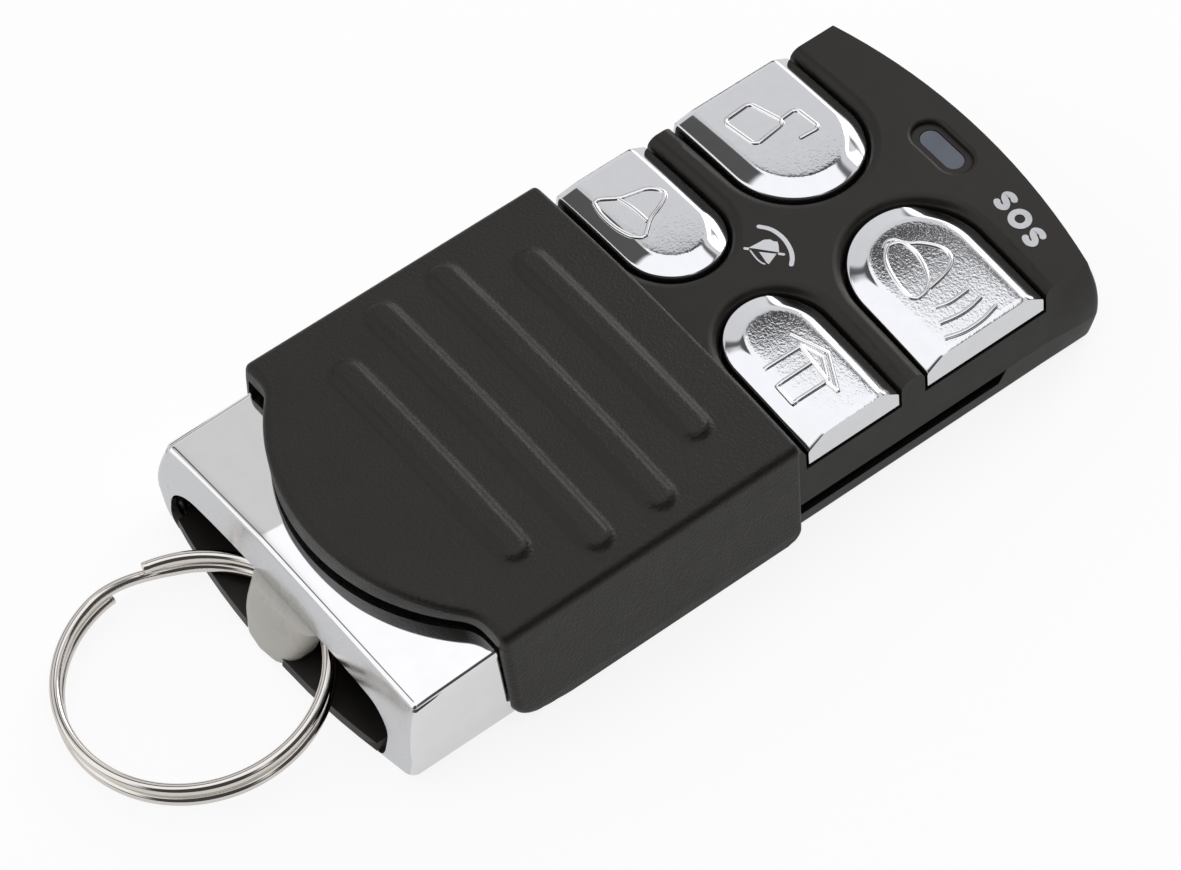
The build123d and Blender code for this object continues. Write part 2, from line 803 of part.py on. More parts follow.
# Parts soldered under the board
chips = {
    "controller_chip": (
        (controller_x, controller_y),
        (controller_length, controller_width),
        controller_height,
    ),
    "radio_chip": ((radio_x, radio_y), (radio_side, radio_side), radio_height),
    "timing_crystal": ((crystal_x, crystal_y), (crystal_length, crystal_width), crystal_height),
}
for name, (place, sides, height) in chips.items():
    with BuildPart() as chip:
        with BuildSketch(Plane.XY.offset(board_bottom_z)):
            with Locations(place):
                Rectangle(*sides)
        extrude(amount=-height)
    chip.part.label = name
    export_step(chip.part, "parts/" + name + ".step")

with BuildPart() as chip_capacitors:
    with BuildSketch(Plane.XY.offset(board_bottom_z)):
        with Locations((0, chip_part_y)):
            with GridLocations(chip_part_pitch, 0, chip_part_count, 1):
                Rectangle(chip_part_width, chip_part_length)
    extrude(amount=-chip_part_height)

chip_capacitors.part.label = "chip_capacitors"
export_step(chip_capacitors.part, "parts/chip_capacitors.step")

# Antenna: one open loop of square wire under the cell's end of the board
with BuildPart() as antenna_loop:
    with BuildSketch(Plane.XY.offset(board_bottom_z)):
        with BuildLine():
            FilletPolyline(
                (-antenna_half, antenna_lamp_y),
                (-antenna_half, antenna_ring_y),
                (antenna_half, antenna_ring_y),
                (antenna_half, antenna_lamp_y),
                radius=antenna_bend,
            )
        trace(line_width=antenna_section)
    extrude(amount=-antenna_section)

antenna_loop.part.label = "antenna_loop"
export_step(antenna_loop.part, "parts/antenna_loop.step")

# Four slotted screws that close the case from the back
with BuildPart() as case_screws:
    with BuildSketch(Plane.XY.offset(screw_head_sink)):
        with Locations(lamp_screws + ring_screws):
            Circle(screw_head_radius)
    extrude(amount=screw_head_height - screw_clearance)
    with BuildSketch(Plane.XY.offset(screw_head_sink)):
        with Locations(lamp_screws + ring_screws):
            Circle(screw_radius)
    extrude(amount=screw_length)
    with BuildSketch(Plane.XY.offset(screw_head_sink)):
        with Locations(lamp_screws + ring_screws):
            Rectangle(2 * screw_head_radius, screw_slot_width)
            Rectangle(screw_slot_width, 2 * screw_head_radius)
    extrude(amount=screw_slot_depth, mode=Mode.SUBTRACT)

case_screws.part.label = "case_screws"
export_step(case_screws.part, "parts/case_screws.step")

# Split ring: nearly two flat turns of round wire, joined by a jog from one level to the next
ring_axis = Vector(-ring_lean_side, -ring_lean_back, 1).normalized()
ring_tilt = math.acos(ring_axis.Z)
ring_z = (
    ring_floor_gap
    + ring_wire_radius
    + ring_pitch / 2 * math.cos(ring_tilt)
    + ring_turn_radius * math.sin(ring_tilt)
)
ring_plane = Plane(origin=(ring_x, ring_y, ring_z), z_dir=ring_axis)
ring_heading = math.degrees(math.atan2(ring_plane.x_dir.Y, ring_plane.x_dir.X))


def ring_place(angle, level):
    """The ring's centre line at an angle from +X and a height on the ring's axis."""
    turn = math.radians(angle - ring_heading)
    flat = (ring_turn_radius * math.cos(turn), ring_turn_radius * math.sin(turn), level)
    return ring_plane.from_local_coords(Vector(*flat))


def ring_direction(angle):
    """The direction of travel round the ring at an angle from +X."""
    return (ring_place(angle + 90, 0) - ring_plane.origin).normalized()


def biarc(start, start_direction, end, end_direction):
    """The point where two arcs of equal reach join the given ends smoothly."""
    span = end - start
    both = start_direction + end_direction
    spread = 2 * (1 - start_direction.dot(end_direction))
    along = span.dot(both)
    reach = (math.sqrt(along**2 + spread * span.dot(span)) - along) / spread
    near = start + start_direction * reach
    far = end - end_direction * reach
    return (near + far) * (1 / 2), far - near


quarter_count = 4
flat_span = 360 - ring_jog_span
quarter = flat_span / quarter_count
low_level = -ring_pitch / 2
high_level = ring_pitch / 2
low_start = ring_jog_angle + ring_jog_span / 2
jog_start = low_start + flat_span
high_start = jog_start + ring_jog_span
with BuildPart() as split_ring:
    with BuildLine() as ring_path:
        for start, level in ((low_start, low_level), (high_start, high_level)):
            for step in range(quarter_count):
                ThreePointArc(
                    ring_place(start + step * quarter, level),
                    ring_place(start + (step + 1 / 2) * quarter, level),
                    ring_place(start + (step + 1) * quarter, level),
                )
        jog_end = ring_place(high_start, high_level)
        middle, middle_direction = biarc(
            ring_place(jog_start, low_level),
            ring_direction(jog_start),
            jog_end,
            ring_direction(high_start),
        )
        TangentArc(ring_place(jog_start, low_level), middle, tangent=ring_direction(jog_start))
        TangentArc(middle, jog_end, tangent=middle_direction)
    wire_start = ring_place(low_start, low_level)
    with BuildSketch(Plane(origin=wire_start, z_dir=ring_direction(low_start))):
        Circle(ring_wire_radius)
    sweep(path=ring_path.wires()[0])

samples = 720
wire = ring_path.wires()[0]
places = [wire.position_at(step / samples) for step in range(samples + 1)]
apart = samples // 4
ring_gap = min(
    (places[one] - places[two]).length
    for one in range(samples + 1)
    for two in range(one + apart, samples + 1)
)
print("split ring: least gap to itself", round(ring_gap - 2 * ring_wire_radius, 3))
ring_section = math.pi * ring_wire_radius**2
ring_fill = split_ring.part.volume / (ring_section * wire.length)
print("split ring: volume over section times length", round(ring_fill, 4))

split_ring.part.label = "split_ring"
export_step(split_ring.part, "parts/split_ring.step")


def cover_outline(shrink, front_y):
    """The cover seen from above: square sides, and a round tongue with hollow blends."""
    back_y = cover_back_y + shrink
    radius = tongue_radius - shrink
    root_x = math.sqrt(radius**2 - (back_y - tongue_center_y) ** 2)
    with BuildSketch() as outline:
        with Locations((0, front_y)):
            Rectangle(2 * cover_bottom_half, front_y - back_y, align=(Align.CENTER, Align.MAX))
        with Locations((0, tongue_center_y)):
            Circle(radius)
        with Locations((0, front_y)):
            Rectangle(
                2 * tongue_radius, tongue_radius, align=(Align.CENTER, Align.MIN), mode=Mode.SUBTRACT
            )
        roots = outline.vertices().filter_by(
            lambda v: math.dist((abs(v.X), v.Y), (root_x, back_y)) < shape_tolerance
        )
        fillet(roots, radius=tongue_blend_radius)
    return outline.sketch


# Grip ribs: pads that stand off the cover's crown, to be joined to it
cover_top_z = cover_crease_z + cover_crown
with BuildPart() as grip_ribs:
    for rib_back, rib_inset in rib_places:
        with BuildSketch(Plane.XY.offset(cover_crease_z - rib_root)):
            with Locations((0, cover_front_y - rib_back)):
                SlotOverall(2 * (cover_crease_half - rib_inset), rib_width)
        extrude(amount=cover_crown + rib_root + 2 * rib_height)
    with BuildSketch(far_plane):
        add(
            crowned_profile(
                cover_crease_half,
                cover_crease_z + rib_height,
                cover_crown,
                cover_crease_z - rib_root,
            )
        )
    extrude(amount=2 * far_reach, mode=Mode.INTERSECT)
    rib_edges = (
        grip_ribs.edges()
        .filter_by(Axis.Z, reverse=True)
        .filter_by(lambda e: e.center().Z > cover_crease_z)
    )
    fillet(rib_edges, radius=rib_edge_radius)

# Room under the cover's roof, which the tongue's rim closes at the back
roof_edge_z = cover_crease_z - cover_roof
roof_edge_half = side_half(roof_edge_z) + cover_running_gap
tongue_inner_half = side_half(tongue_under_z) + cover_running_gap
with BuildPart() as roof_space:
    with BuildSketch(Plane.XY.offset(tongue_under_z)):
        add(cover_outline(tongue_rim, cover_front_y + overrun))
    extrude(amount=cover_top_z - tongue_under_z)
    with BuildSketch(far_plane):
        with BuildLine():
            Polyline(
                (-roof_edge_half, roof_edge_z),
                (-tongue_inner_half, tongue_under_z),
                (tongue_inner_half, tongue_under_z),
                (roof_edge_half, roof_edge_z),
            )
            ThreePointArc(
                (roof_edge_half, roof_edge_z),
                (0, roof_edge_z + cover_crown),
                (-roof_edge_half, roof_edge_z),
            )
        make_face()
    extrude(amount=2 * far_reach, mode=Mode.INTERSECT)

# Sliding cover: a crowned sleeve with a tongue, open at the front, on two inner lips
with BuildPart() as slide_cover:
    with BuildSketch(far_plane):
        with BuildLine():
            Polyline(
                (-cover_crease_half, cover_crease_z),
                (-cover_bottom_half, cover_draft_z),
                (-cover_bottom_half, cover_bottom_z),
                (cover_bottom_half, cover_bottom_z),
                (cover_bottom_half, cover_draft_z),
                (cover_crease_half, cover_crease_z),
            )
            ThreePointArc(
                (cover_crease_half, cover_crease_z),
                (0, cover_top_z),
                (-cover_crease_half, cover_crease_z),
            )
        make_face()
    extrude(amount=2 * far_reach)
    creases = slide_cover.edges().filter_by(Axis.Y).group_by(Axis.Z)[-1]
    fillet(creases, radius=cover_crease_radius)
    with BuildSketch():
        add(cover_outline(0, cover_front_y))
    extrude(amount=cover_top_z + overrun, mode=Mode.INTERSECT)
    # Side view: rounded lower corners, and nothing of the tongue below its edge
    with BuildSketch(Plane.YZ.offset(-cover_bottom_half - overrun)):
        with BuildLine():
            Polyline(
                (cover_front_y, cover_bottom_z),
                (cover_front_y, cover_top_z + overrun),
                (ledge_apex_y, cover_top_z + overrun),
                (ledge_apex_y, tongue_under_z),
                (cover_back_y, tongue_under_z),
                (cover_back_y + cover_back_lean, cover_bottom_z),
                close=True,
            )
        make_face()
        back_corner = vertices().group_by(Axis.Y)[0].sort_by(Axis.X)[0]
        fillet(back_corner, radius=cover_back_corner_radius)
        front_corner = vertices().group_by(Axis.Y)[0].sort_by(Axis.X)[-1]
        fillet(front_corner, radius=cover_front_corner_radius)
    extrude(amount=2 * (cover_bottom_half + overrun), mode=Mode.INTERSECT)
    add(grip_ribs.part)
    # Inside: a channel that follows the drafted body, and the room under the roof
    with BuildSketch(far_plane):
        with BuildLine():
            Polyline(
                (-tongue_inner_half, tongue_under_z),
                (-cover_inner_half, parting_z),
                (-cover_inner_half, -overrun),
                (cover_inner_half, -overrun),
                (cover_inner_half, parting_z),
                (tongue_inner_half, tongue_under_z),
                close=True,
            )
        make_face()
    extrude(amount=2 * far_reach, mode=Mode.SUBTRACT)
    add(roof_space.part, mode=Mode.SUBTRACT)
    # Lips that run in the body's rails
    for side in (-1, 1):
        with BuildSketch(Plane.XZ.offset(-lip_front_y)):
            with Locations((side * (cover_inner_half - lip_depth), groove_bottom_z + lip_gap)):
                Rectangle(
                    lip_depth + shape_tolerance,
                    parting_z - groove_bottom_z - 2 * lip_gap,
                    align=(Align.MIN if side > 0 else Align.MAX, Align.MIN),
                )
        extrude(amount=lip_front_y - lip_back_y)

slide_cover.part.label = "slide_cover"
export_step(slide_cover.part, "parts/slide_cover.step")
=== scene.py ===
"""Alarm key fob: the looks of its pieces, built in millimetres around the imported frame."""
import logging
import math
from dataclasses import dataclass, field
from enum import Enum
from functools import cache
from typing import Callable, Sequence

import bmesh
import bpy
import numpy as np
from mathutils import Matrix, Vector


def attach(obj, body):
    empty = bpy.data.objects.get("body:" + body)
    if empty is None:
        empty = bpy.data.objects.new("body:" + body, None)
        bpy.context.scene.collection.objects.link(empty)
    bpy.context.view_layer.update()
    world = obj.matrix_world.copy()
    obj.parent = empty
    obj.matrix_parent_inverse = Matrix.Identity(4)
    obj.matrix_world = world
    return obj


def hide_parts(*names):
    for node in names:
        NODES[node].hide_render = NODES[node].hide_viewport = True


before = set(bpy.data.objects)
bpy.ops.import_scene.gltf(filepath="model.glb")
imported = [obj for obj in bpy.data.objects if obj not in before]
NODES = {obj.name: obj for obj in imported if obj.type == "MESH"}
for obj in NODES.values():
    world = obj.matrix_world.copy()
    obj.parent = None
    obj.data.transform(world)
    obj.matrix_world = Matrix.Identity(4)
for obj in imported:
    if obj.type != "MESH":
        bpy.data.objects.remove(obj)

Array = np.ndarray
Material = bpy.types.Material
Mesh = bpy.types.Mesh
Piece = bpy.types.Object
Points = Sequence[Sequence[float]]
Socket = bpy.types.NodeSocket
Color = tuple[float, float, float]

MILLIMETRE = 0.001
MERGE_DISTANCE = 1e-7
PHOTO_WIDTH = 1181
PHOTO_HEIGHT = 870
QUARTER_TURN = math.pi / 2.0
TURN_SIDES = 32
UP = np.array([0.0, 0.0, 1.0])
WHITE = (1.0, 1.0, 1.0, 1.0)

log = logging.getLogger("fob")


def unit(vectors: Array) -> Array:
    """Vectors scaled to length one along their last axis."""
    return vectors / np.linalg.norm(vectors, axis=-1, keepdims=True)


def held(share: Array) -> Array:
    """A share kept from 0 to 1."""
    return np.clip(share, 0.0, 1.0)


def blend(first: Array, last: Array, share: Array) -> Array:
    """The way from first, at a share of 0, to last, at 1."""
    return first + (last - first) * share


def stacked(*parts: Array) -> Array:
    """Numbers and arrays spread to one shape and laid side by side along a new last axis."""
    return np.stack(np.broadcast_arrays(*parts), axis=-1)


def ease(value: Array, low: float, high: float) -> Array:
    """A smooth step from 0 at low to 1 at high: 3 t squared less 2 t cubed, with t held from 0 to 1."""
    share = held((value - low) / (high - low))
    return share * share * (3.0 - 2.0 * share)


def rolled(distance: Array, radius: float) -> Array:
    """How far a quarter-round edge lies below its face, at a distance in from the edge."""
    inside = np.clip(radius - distance, 0.0, radius)
    return radius - np.sqrt(radius * radius - inside * inside)


def run_along(path: Array) -> Array:
    """The distance along a path at each of its points."""
    return np.concatenate([[0.0], np.cumsum(np.linalg.norm(np.diff(path, axis=0), axis=1))])


def rounded_path(corners: Points, radii: Sequence[float], steps: int = 7) -> Array:
    """A polyline whose inner corners are circular arcs that touch both of their sides.

    Args:
        corners: the polyline's points.
        radii: one radius for each inner corner.
        steps: points on each arc.

    Returns:
        The path's points, one row each.
    """
    points = np.asarray(corners, float)
    parts = [points[:1]]
    share = np.linspace(0.0, 1.0, steps)[:, None]
    for before, corner, after, radius in zip(points, points[1:], points[2:], radii):
        inward, outward = unit(before - corner), unit(after - corner)
        turn = math.pi - math.acos(float(np.clip(inward @ outward, -1.0, 1.0)))
        reach = radius * math.tan(turn / 2.0)
        centre = corner + unit(inward + outward) * radius / math.cos(turn / 2.0)
        start, end = (corner + way * reach - centre for way in (inward, outward))
        arc = (np.sin((1.0 - share) * turn) * start + np.sin(share * turn) * end) / math.sin(turn)
        parts.append(centre + arc)
    return np.concatenate([*parts, points[-1:]])


def divided(path: Array, longest: float) -> Array:
    """A path with even points added on its sides.

    Args:
        path: the path's points, one row each.
        longest: the longest step allowed.

    Returns:
        All points of the path, old and new.
    """
    steps = np.linalg.norm(np.diff(path, axis=0), axis=1)
    counts = np.maximum(1, np.ceil(steps / longest).astype(int))
    index = np.repeat(np.arange(len(steps)), counts)
    first = np.repeat(np.cumsum(counts) - counts, counts)
    share = ((np.arange(len(index)) - first) / counts[index])[:, None]
    inner = path[index] * (1.0 - share) + path[index + 1] * share
    return np.concatenate([inner, path[-1:]])


def smooth_line(points: Points, closed: bool = False, steps: int = 8) -> Array:
    """A Catmull-Rom curve: each stretch is the cubic that leaves its ends along their neighbours' chord.

    Args:
        points: the points that the line passes through.
        closed: whether it returns to its start.
        steps: points on each stretch.

    Returns:
        The line's points, one row each.
    """
    knots = np.asarray(points, float)
    if closed:
        knots = np.concatenate([knots[-1:], knots, knots[:2]])
    else:
        knots = np.concatenate([2 * knots[:1] - knots[1:2], knots, 2 * knots[-1:] - knots[-2:-1]])
    before, start, end, after = (k[:, None] for k in (knots[:-3], knots[1:-2], knots[2:-1], knots[3:]))
    share = np.linspace(0.0, 1.0, steps, endpoint=False)[None, :, None]
    line = 0.5 * (
        2 * start
        + (end - before) * share
        + (2 * before - 5 * start + 4 * end - after) * share**2
        + (3 * start - before - 3 * end + after) * share**3
    )
    line = line.reshape(-1, line.shape[-1])
    return np.concatenate([line, line[:1] if closed else knots[-2:-1]])


def tube(path: Array, across: float, high: float, sides: int, closed: bool = False) -> Array:
    """Points of a tube with an oval section: at each point of a path, cos(a) across plus sin(a) high.

    Args:
        path: the centre line, one row each.
        across: half the section's width.
        high: half its height, which stands as near upright as the path allows.
        sides: points round the section.
        closed: whether the path joins its own start.

    Returns:
        Rows by sides by 3.
    """
    if closed:
        along = unit(np.roll(path, -1, axis=0) - np.roll(path, 1, axis=0))
    else:
        along = unit(np.gradient(path, axis=0))
    side = unit(np.cross(along, UP))
    top = np.cross(side, along)
    angle = np.linspace(0.0, 2.0 * math.pi, sides, endpoint=False)[None, :, None]
    return path[:, None] + across * np.cos(angle) * side[:, None] + high * np.sin(angle) * top[:, None]


def placed(name: str, data: bpy.types.ID) -> Piece:
    """A new object that holds some data.

    Args:
        name: the object's name.
        data: its mesh, camera or lamp.

    Returns:
        The object, linked to the scene.
    """
    thing = bpy.data.objects.new(name, data)
    bpy.context.scene.collection.objects.link(thing)
    return thing


def aimed(name: str, data: bpy.types.ID, place: Vector, target: Vector) -> Piece:
    """A new object that looks from one place to another.

    Args:
        name: the object's name.
        data: its camera or lamp.
        place: where it stands, in millimetres.
        target: what it looks at.

    Returns:
        The object, linked to the scene.
    """
    thing = placed(name, data)
    thing.location = place * MILLIMETRE
    thing.rotation_mode = "QUATERNION"
    thing.rotation_quaternion = (target - place).to_track_quat("-Z", "Y")
    return thing


def finished(name: str, mesh: Mesh, crease: float, finishes: Sequence["Finish"]) -> Piece:
    """A piece made from a mesh, smooth but for its sharp edges.

    Args:
        name: the piece's name.
        mesh: its mesh.
        crease: the angle in degrees past which an edge stays sharp.
        finishes: its finishes, in the order of its material numbers.

    Returns:
        The new object, linked to the scene.
    """
    for finish in finishes:
        mesh.materials.append(material(finish))
    mesh.shade_smooth()
    mesh.set_sharp_from_angle(angle=math.radians(crease))
    return placed(name, mesh)


def coordinates(mesh: Mesh) -> Array:
    """A mesh's points in millimetres.

    Args:
        mesh: the mesh, in metres.

    Returns:
        The points, one row each.
    """
    flat = np.zeros(len(mesh.vertices) * 3, np.float32)
    mesh.vertices.foreach_get("co", flat)
    return flat.reshape(-1, 3).astype(float) / MILLIMETRE


def cleaned(mesh: Mesh) -> None:
    """Merges a mesh's doubled points, drops its empty faces, closes its holes and turns faces outwards.

    Args:
        mesh: the mesh, which is changed in place.
    """
    work = bmesh.new()
    work.from_mesh(mesh)
    bmesh.ops.remove_doubles(work, verts=work.verts, dist=MERGE_DISTANCE)
    bmesh.ops.dissolve_degenerate(work, edges=work.edges, dist=MERGE_DISTANCE)
    bmesh.ops.holes_fill(work, edges=[edge for edge in work.edges if edge.is_boundary], sides=0)
    bmesh.ops.recalc_face_normals(work, faces=work.faces)
    work.to_mesh(mesh)
    work.free()


@dataclass
class Surface:
    """Mesh data gathered from grids, with a finish number for each face."""

    points: list[Array] = field(default_factory=list)
    faces: list[Array] = field(default_factory=list)
    finishes: list[Array] = field(default_factory=list)
    count: int = 0

    def grid(self, points: Array, around: bool = False, flip: bool = False, finish: int = 0) -> Array:
        """Adds a grid of points as four-sided faces.

        Args:
            points: rows by columns by 3, in millimetres.
            around: whether the last column joins the first.
            flip: whether the faces turn the other way.
            finish: which of the piece's finishes the faces take.

        Returns:
            The number of each point in the mesh, rows by columns.
        """
        rows, columns = points.shape[:2]
        index = self.count + np.arange(rows * columns).reshape(rows, columns)
        self.points.append(points.reshape(-1, 3))
        self.count += rows * columns
        closed = np.concatenate([index, index[:, :1]], axis=1) if around else index
        self.quads(closed[:-1], closed[1:], flip, finish)
        return index

    def quads(self, low: Array, high: Array, flip: bool = False, finish: int = 0) -> None:
        """Joins rows of point numbers with four-sided faces.

        Args:
            low: point numbers along one edge, one row or several.
            high: the point numbers across from them.
            flip: whether the faces turn the other way.
            finish: which of the piece's finishes the faces take.
        """
        low, high = np.atleast_2d(low), np.atleast_2d(high)
        faces = stacked(low[:, :-1], low[:, 1:], high[:, 1:], high[:, :-1]).reshape(-1, 4)
        self.faces.append(faces[:, ::-1] if flip else faces)
        self.finishes.append(np.full(len(faces), finish))

    def shell(self, outer: Array, inner: Array) -> None:
        """Adds a wall between two grids of the same shape, closed along all four borders.

        Args:
            outer: the grid on the wall's outside.
            inner: the grid on its inside.
        """
        out = self.grid(outer)
        back = self.grid(inner, flip=True)
        self.quads(back[0], out[0])
        self.quads(out[-1], back[-1])
        self.quads(out[:, 0], back[:, 0])
        self.quads(back[:, -1], out[:, -1])

    def turned(self, profile: Points, centre: Sequence[float]) -> None:
        """Adds a round solid: a profile turned about an upright axis.

        Args:
            profile: its points as (radius, height).
            centre: the axis as (x, y).
        """
        angle = np.linspace(0.0, 2.0 * math.pi, TURN_SIDES, endpoint=False)
        radius, height = np.hsplit(np.array(profile), 2)
        x, y = centre[0] + radius * np.cos(angle), centre[1] + radius * np.sin(angle)
        self.grid(stacked(x, y, height), around=True)

    def box(self, low: Sequence[float], high: Sequence[float]) -> None:
        """Adds a plain box.

        Args:
            low: its lowest corner.
            high: the corner across from it.
        """
        (x0, y0, z0), (x1, y1, z1) = low, high
        square = [(x0, y0), (x1, y0), (x1, y1), (x0, y1)]
        index = self.grid(np.array([[(x, y, z) for x, y in square] for z in (z0, z1)]), around=True)
        self.quads(index[:, 0], index[:, 1])
        self.quads(index[:, 2], index[:, 3])

    def build(self, name: str, crease: float, *finishes: "Finish") -> Piece:
        """Makes the object, with merged doubles, closed poles and faces that point outwards.

        Args:
            name: the piece's name.
            crease: the angle in degrees past which an edge stays sharp.
            finishes: its finishes, in the order of the finish numbers.

        Returns:
            The new object, in metres.
        """
        mesh = bpy.data.meshes.new(name)
        mesh.from_pydata(np.concatenate(self.points) * MILLIMETRE, [], np.concatenate(self.faces).tolist())
        mesh.polygons.foreach_set("material_index", np.concatenate(self.finishes).astype(np.int32))
        cleaned(mesh)
        return finished(name, mesh, crease, finishes)


class Wiring:
    """A tree of shader nodes with a short way to add and join them."""

    def __init__(self, tree: bpy.types.NodeTree) -> None:
        """Takes the tree to work in."""
        self.tree = tree

    def wire(self, node: bpy.types.Node, inputs: dict) -> None:
        """Joins the inputs that are given an output, and sets the others.

        Args:
            node: the node that the inputs belong to.
            inputs: value or output socket for each input, by name or number.
        """
        for key, value in inputs.items():
            if isinstance(value, Socket):
                self.tree.links.new(value, node.inputs[key])
            else:
                node.inputs[key].default_value = value

    def add(self, kind: str, inputs: dict, output: int | str = 0, **settings: object) -> Socket:
        """Adds a node, sets its options, and sets or joins its inputs.

        Args:
            kind: the node's type, without its ShaderNode prefix.
            inputs: value or output socket for each input, by name or number.
            output: which of its outputs is wanted.
            settings: the node's own options.

        Returns:
            The wanted output.
        """
        node = self.tree.nodes.new("ShaderNode" + kind)
        for key, value in settings.items():
            setattr(node, key, value)
        self.wire(node, inputs)
        return node.outputs[output]

    def ranged(self, value: Socket, low: float, high: float, start: float = 0.3, end: float = 0.7,
               **settings: object) -> Socket:
        """A value from start to end carried to the range from low to high."""
        return self.add("MapRange", {"Value": value, "From Min": start, "From Max": end,
                                     "To Min": low, "To Max": high}, **settings)

    def mixed(self, share: Socket, first: object, last: object) -> Socket:
        """A colour blended from first to last by a share from 0 to 1."""
        return self.add("Mix", {"Factor": share, 6: first, 7: last}, 2, data_type="RGBA")


class Bench(Wiring):
    """A new material with its shader, and the noises and bumps that roughen it."""

    def __init__(self, name: str) -> None:
        """Makes the material with a plain Principled shader.

        Args:
            name: the material's name.
        """
        self.material = bpy.data.materials.new(name)
        self.material.use_nodes = True
        super().__init__(self.material.node_tree)
        self.shader = self.tree.nodes["Principled BSDF"]
        self.place = self.add("TexCoord", {}, "Object")

    def set(self, **inputs: object) -> None:
        """Sets or joins the shader's inputs, with underscores for the blanks in their names."""
        self.wire(self.shader, {key.replace("_", " "): value for key, value in inputs.items()})

    def noise(self, size: float, detail: float = 3.0, roughness: float = 0.5) -> Socket:
        """Noise with features of a size in millimetres, from the object's coordinates."""
        return self.add("TexNoise", {"Vector": self.place, "Scale": 1.0 / (size * MILLIMETRE),
                                     "Detail": detail, "Roughness": roughness}, "Fac")

    def bump(self, height: Socket, depth: float, **base: Socket) -> Socket:
        """A normal that a height of a depth in millimetres roughens, on top of the base Normal, if any."""
        return self.add("Bump", {"Height": height, "Distance": depth * MILLIMETRE, "Strength": 1.0, **base})


def shade(color: Color, factor: float = 1.0) -> tuple[float, float, float, float]:
    """A colour made lighter or darker by a factor, with the 1 that a socket wants after it."""
    return (*(min(1.0, part * factor) for part in color), 1.0)


@dataclass(frozen=True)
class Moulding:
    """A moulded plastic with a fine grain, faint patches and a rubbed sheen."""

    name: str
    color: Color
    roughness: float
    grain_size: float = 0.25
    grain_depth: float = 0.01
    specular: float = 0.5
    warmth: Color = (1.0, 0.965, 0.915)
    patch_size: float = 6.0
    patch_share: float = 0.12
    rub_size: float = 1.5
    rub_share: float = 0.08

    def build(self) -> Material:
        """Makes the material: two noises roughen the surface, and a wide one tints it.

        Returns:
            The new material.
        """
        bench = Bench(self.name)
        patches = bench.ranged(bench.noise(self.patch_size), 0.0, 1.0)
        rough = (self.roughness * (1.0 - self.rub_share), self.roughness * (1.0 + self.rub_share))
        bench.set(
            Base_Color=bench.mixed(patches, shade(self.color, 1.0 - self.patch_share),
                                   shade(self.color, 1.0 + self.patch_share)),
            Roughness=bench.ranged(bench.noise(self.rub_size), *rough),
            Normal=bench.bump(bench.noise(self.grain_size), self.grain_depth),
            Specular_IOR_Level=self.specular,
            Specular_Tint=shade(self.warmth),
        )
        return bench.material


@dataclass(frozen=True)
class Plating:
    """A bright plated metal: slow ripples bend its reflections, and a pearled zone sparkles."""

    name: str
    color: Color
    roughness: float
    ripple_size: float = 5.0
    ripple_depth: float = 0.004
    pearl_size: float = 0.0
    pearl_depth: float = 0.0
    pearl_roughness: float = 0.0
    pearl_detail: float = 0.6
    haze_size: float = 1.5
    haze_tint: float = 0.97
    haze_share: float = 0.2

    def build(self) -> Material:
        """Makes the material; the attribute pearl, from 0 to 1, says where the surface is pearled.

        Returns:
            The new material.
        """
        bench = Bench(self.name)
        haze = bench.ranged(bench.noise(self.haze_size, 2.0), 0.0, 1.0)
        rough = bench.ranged(haze, self.roughness * (1.0 - self.haze_share),
                             self.roughness * (1.0 + self.haze_share), 0.0, 1.0)
        normal = bench.bump(bench.noise(self.ripple_size, 1.0), self.ripple_depth)
        if self.pearl_size > 0.0:
            pearl = bench.add("Attribute", {}, "Fac", attribute_name="pearl")
            grains = bench.noise(self.pearl_size, 2.0, self.pearl_detail)
            raised = bench.add("Math", {0: grains, 1: pearl}, operation="MULTIPLY")
            normal = bench.bump(raised, self.pearl_depth, Normal=normal)
            rough = bench.add("Mix", {"Factor": pearl, 2: rough, 3: self.pearl_roughness})
        bench.set(Base_Color=bench.mixed(haze, shade(self.color, self.haze_tint), shade(self.color)),
                  Metallic=1.0, Roughness=rough, Normal=normal)
        return bench.material


@dataclass(frozen=True)
class Ivory:
    """A smooth plastic that lets some light into itself."""

    name: str
    color: Color
    glow_radius: float
    glow_share: float
    glow_tint: Color = (1.0, 0.8, 0.6)
    flow_size: float = 2.0
    flow_tint: float = 0.98
    roughness: tuple[float, float] = (0.26, 0.32)
    grain_size: float = 0.8
    grain_depth: float = 0.006

    def build(self) -> Material:
        """Makes the material with soft inner light and faint flow marks.

        Returns:
            The new material.
        """
        bench = Bench(self.name)
        flow = bench.ranged(bench.noise(self.flow_size), 0.0, 1.0)
        bench.set(
            Base_Color=bench.mixed(flow, shade(self.color, self.flow_tint), shade(self.color)),
            Roughness=bench.ranged(flow, *self.roughness, 0.0, 1.0),
            Normal=bench.bump(bench.noise(self.grain_size, 2.0), self.grain_depth),
            Subsurface_Weight=self.glow_share,
            Subsurface_Radius=[self.glow_radius * MILLIMETRE * part for part in self.glow_tint],
            Subsurface_Scale=1.0,
        )
        return bench.material


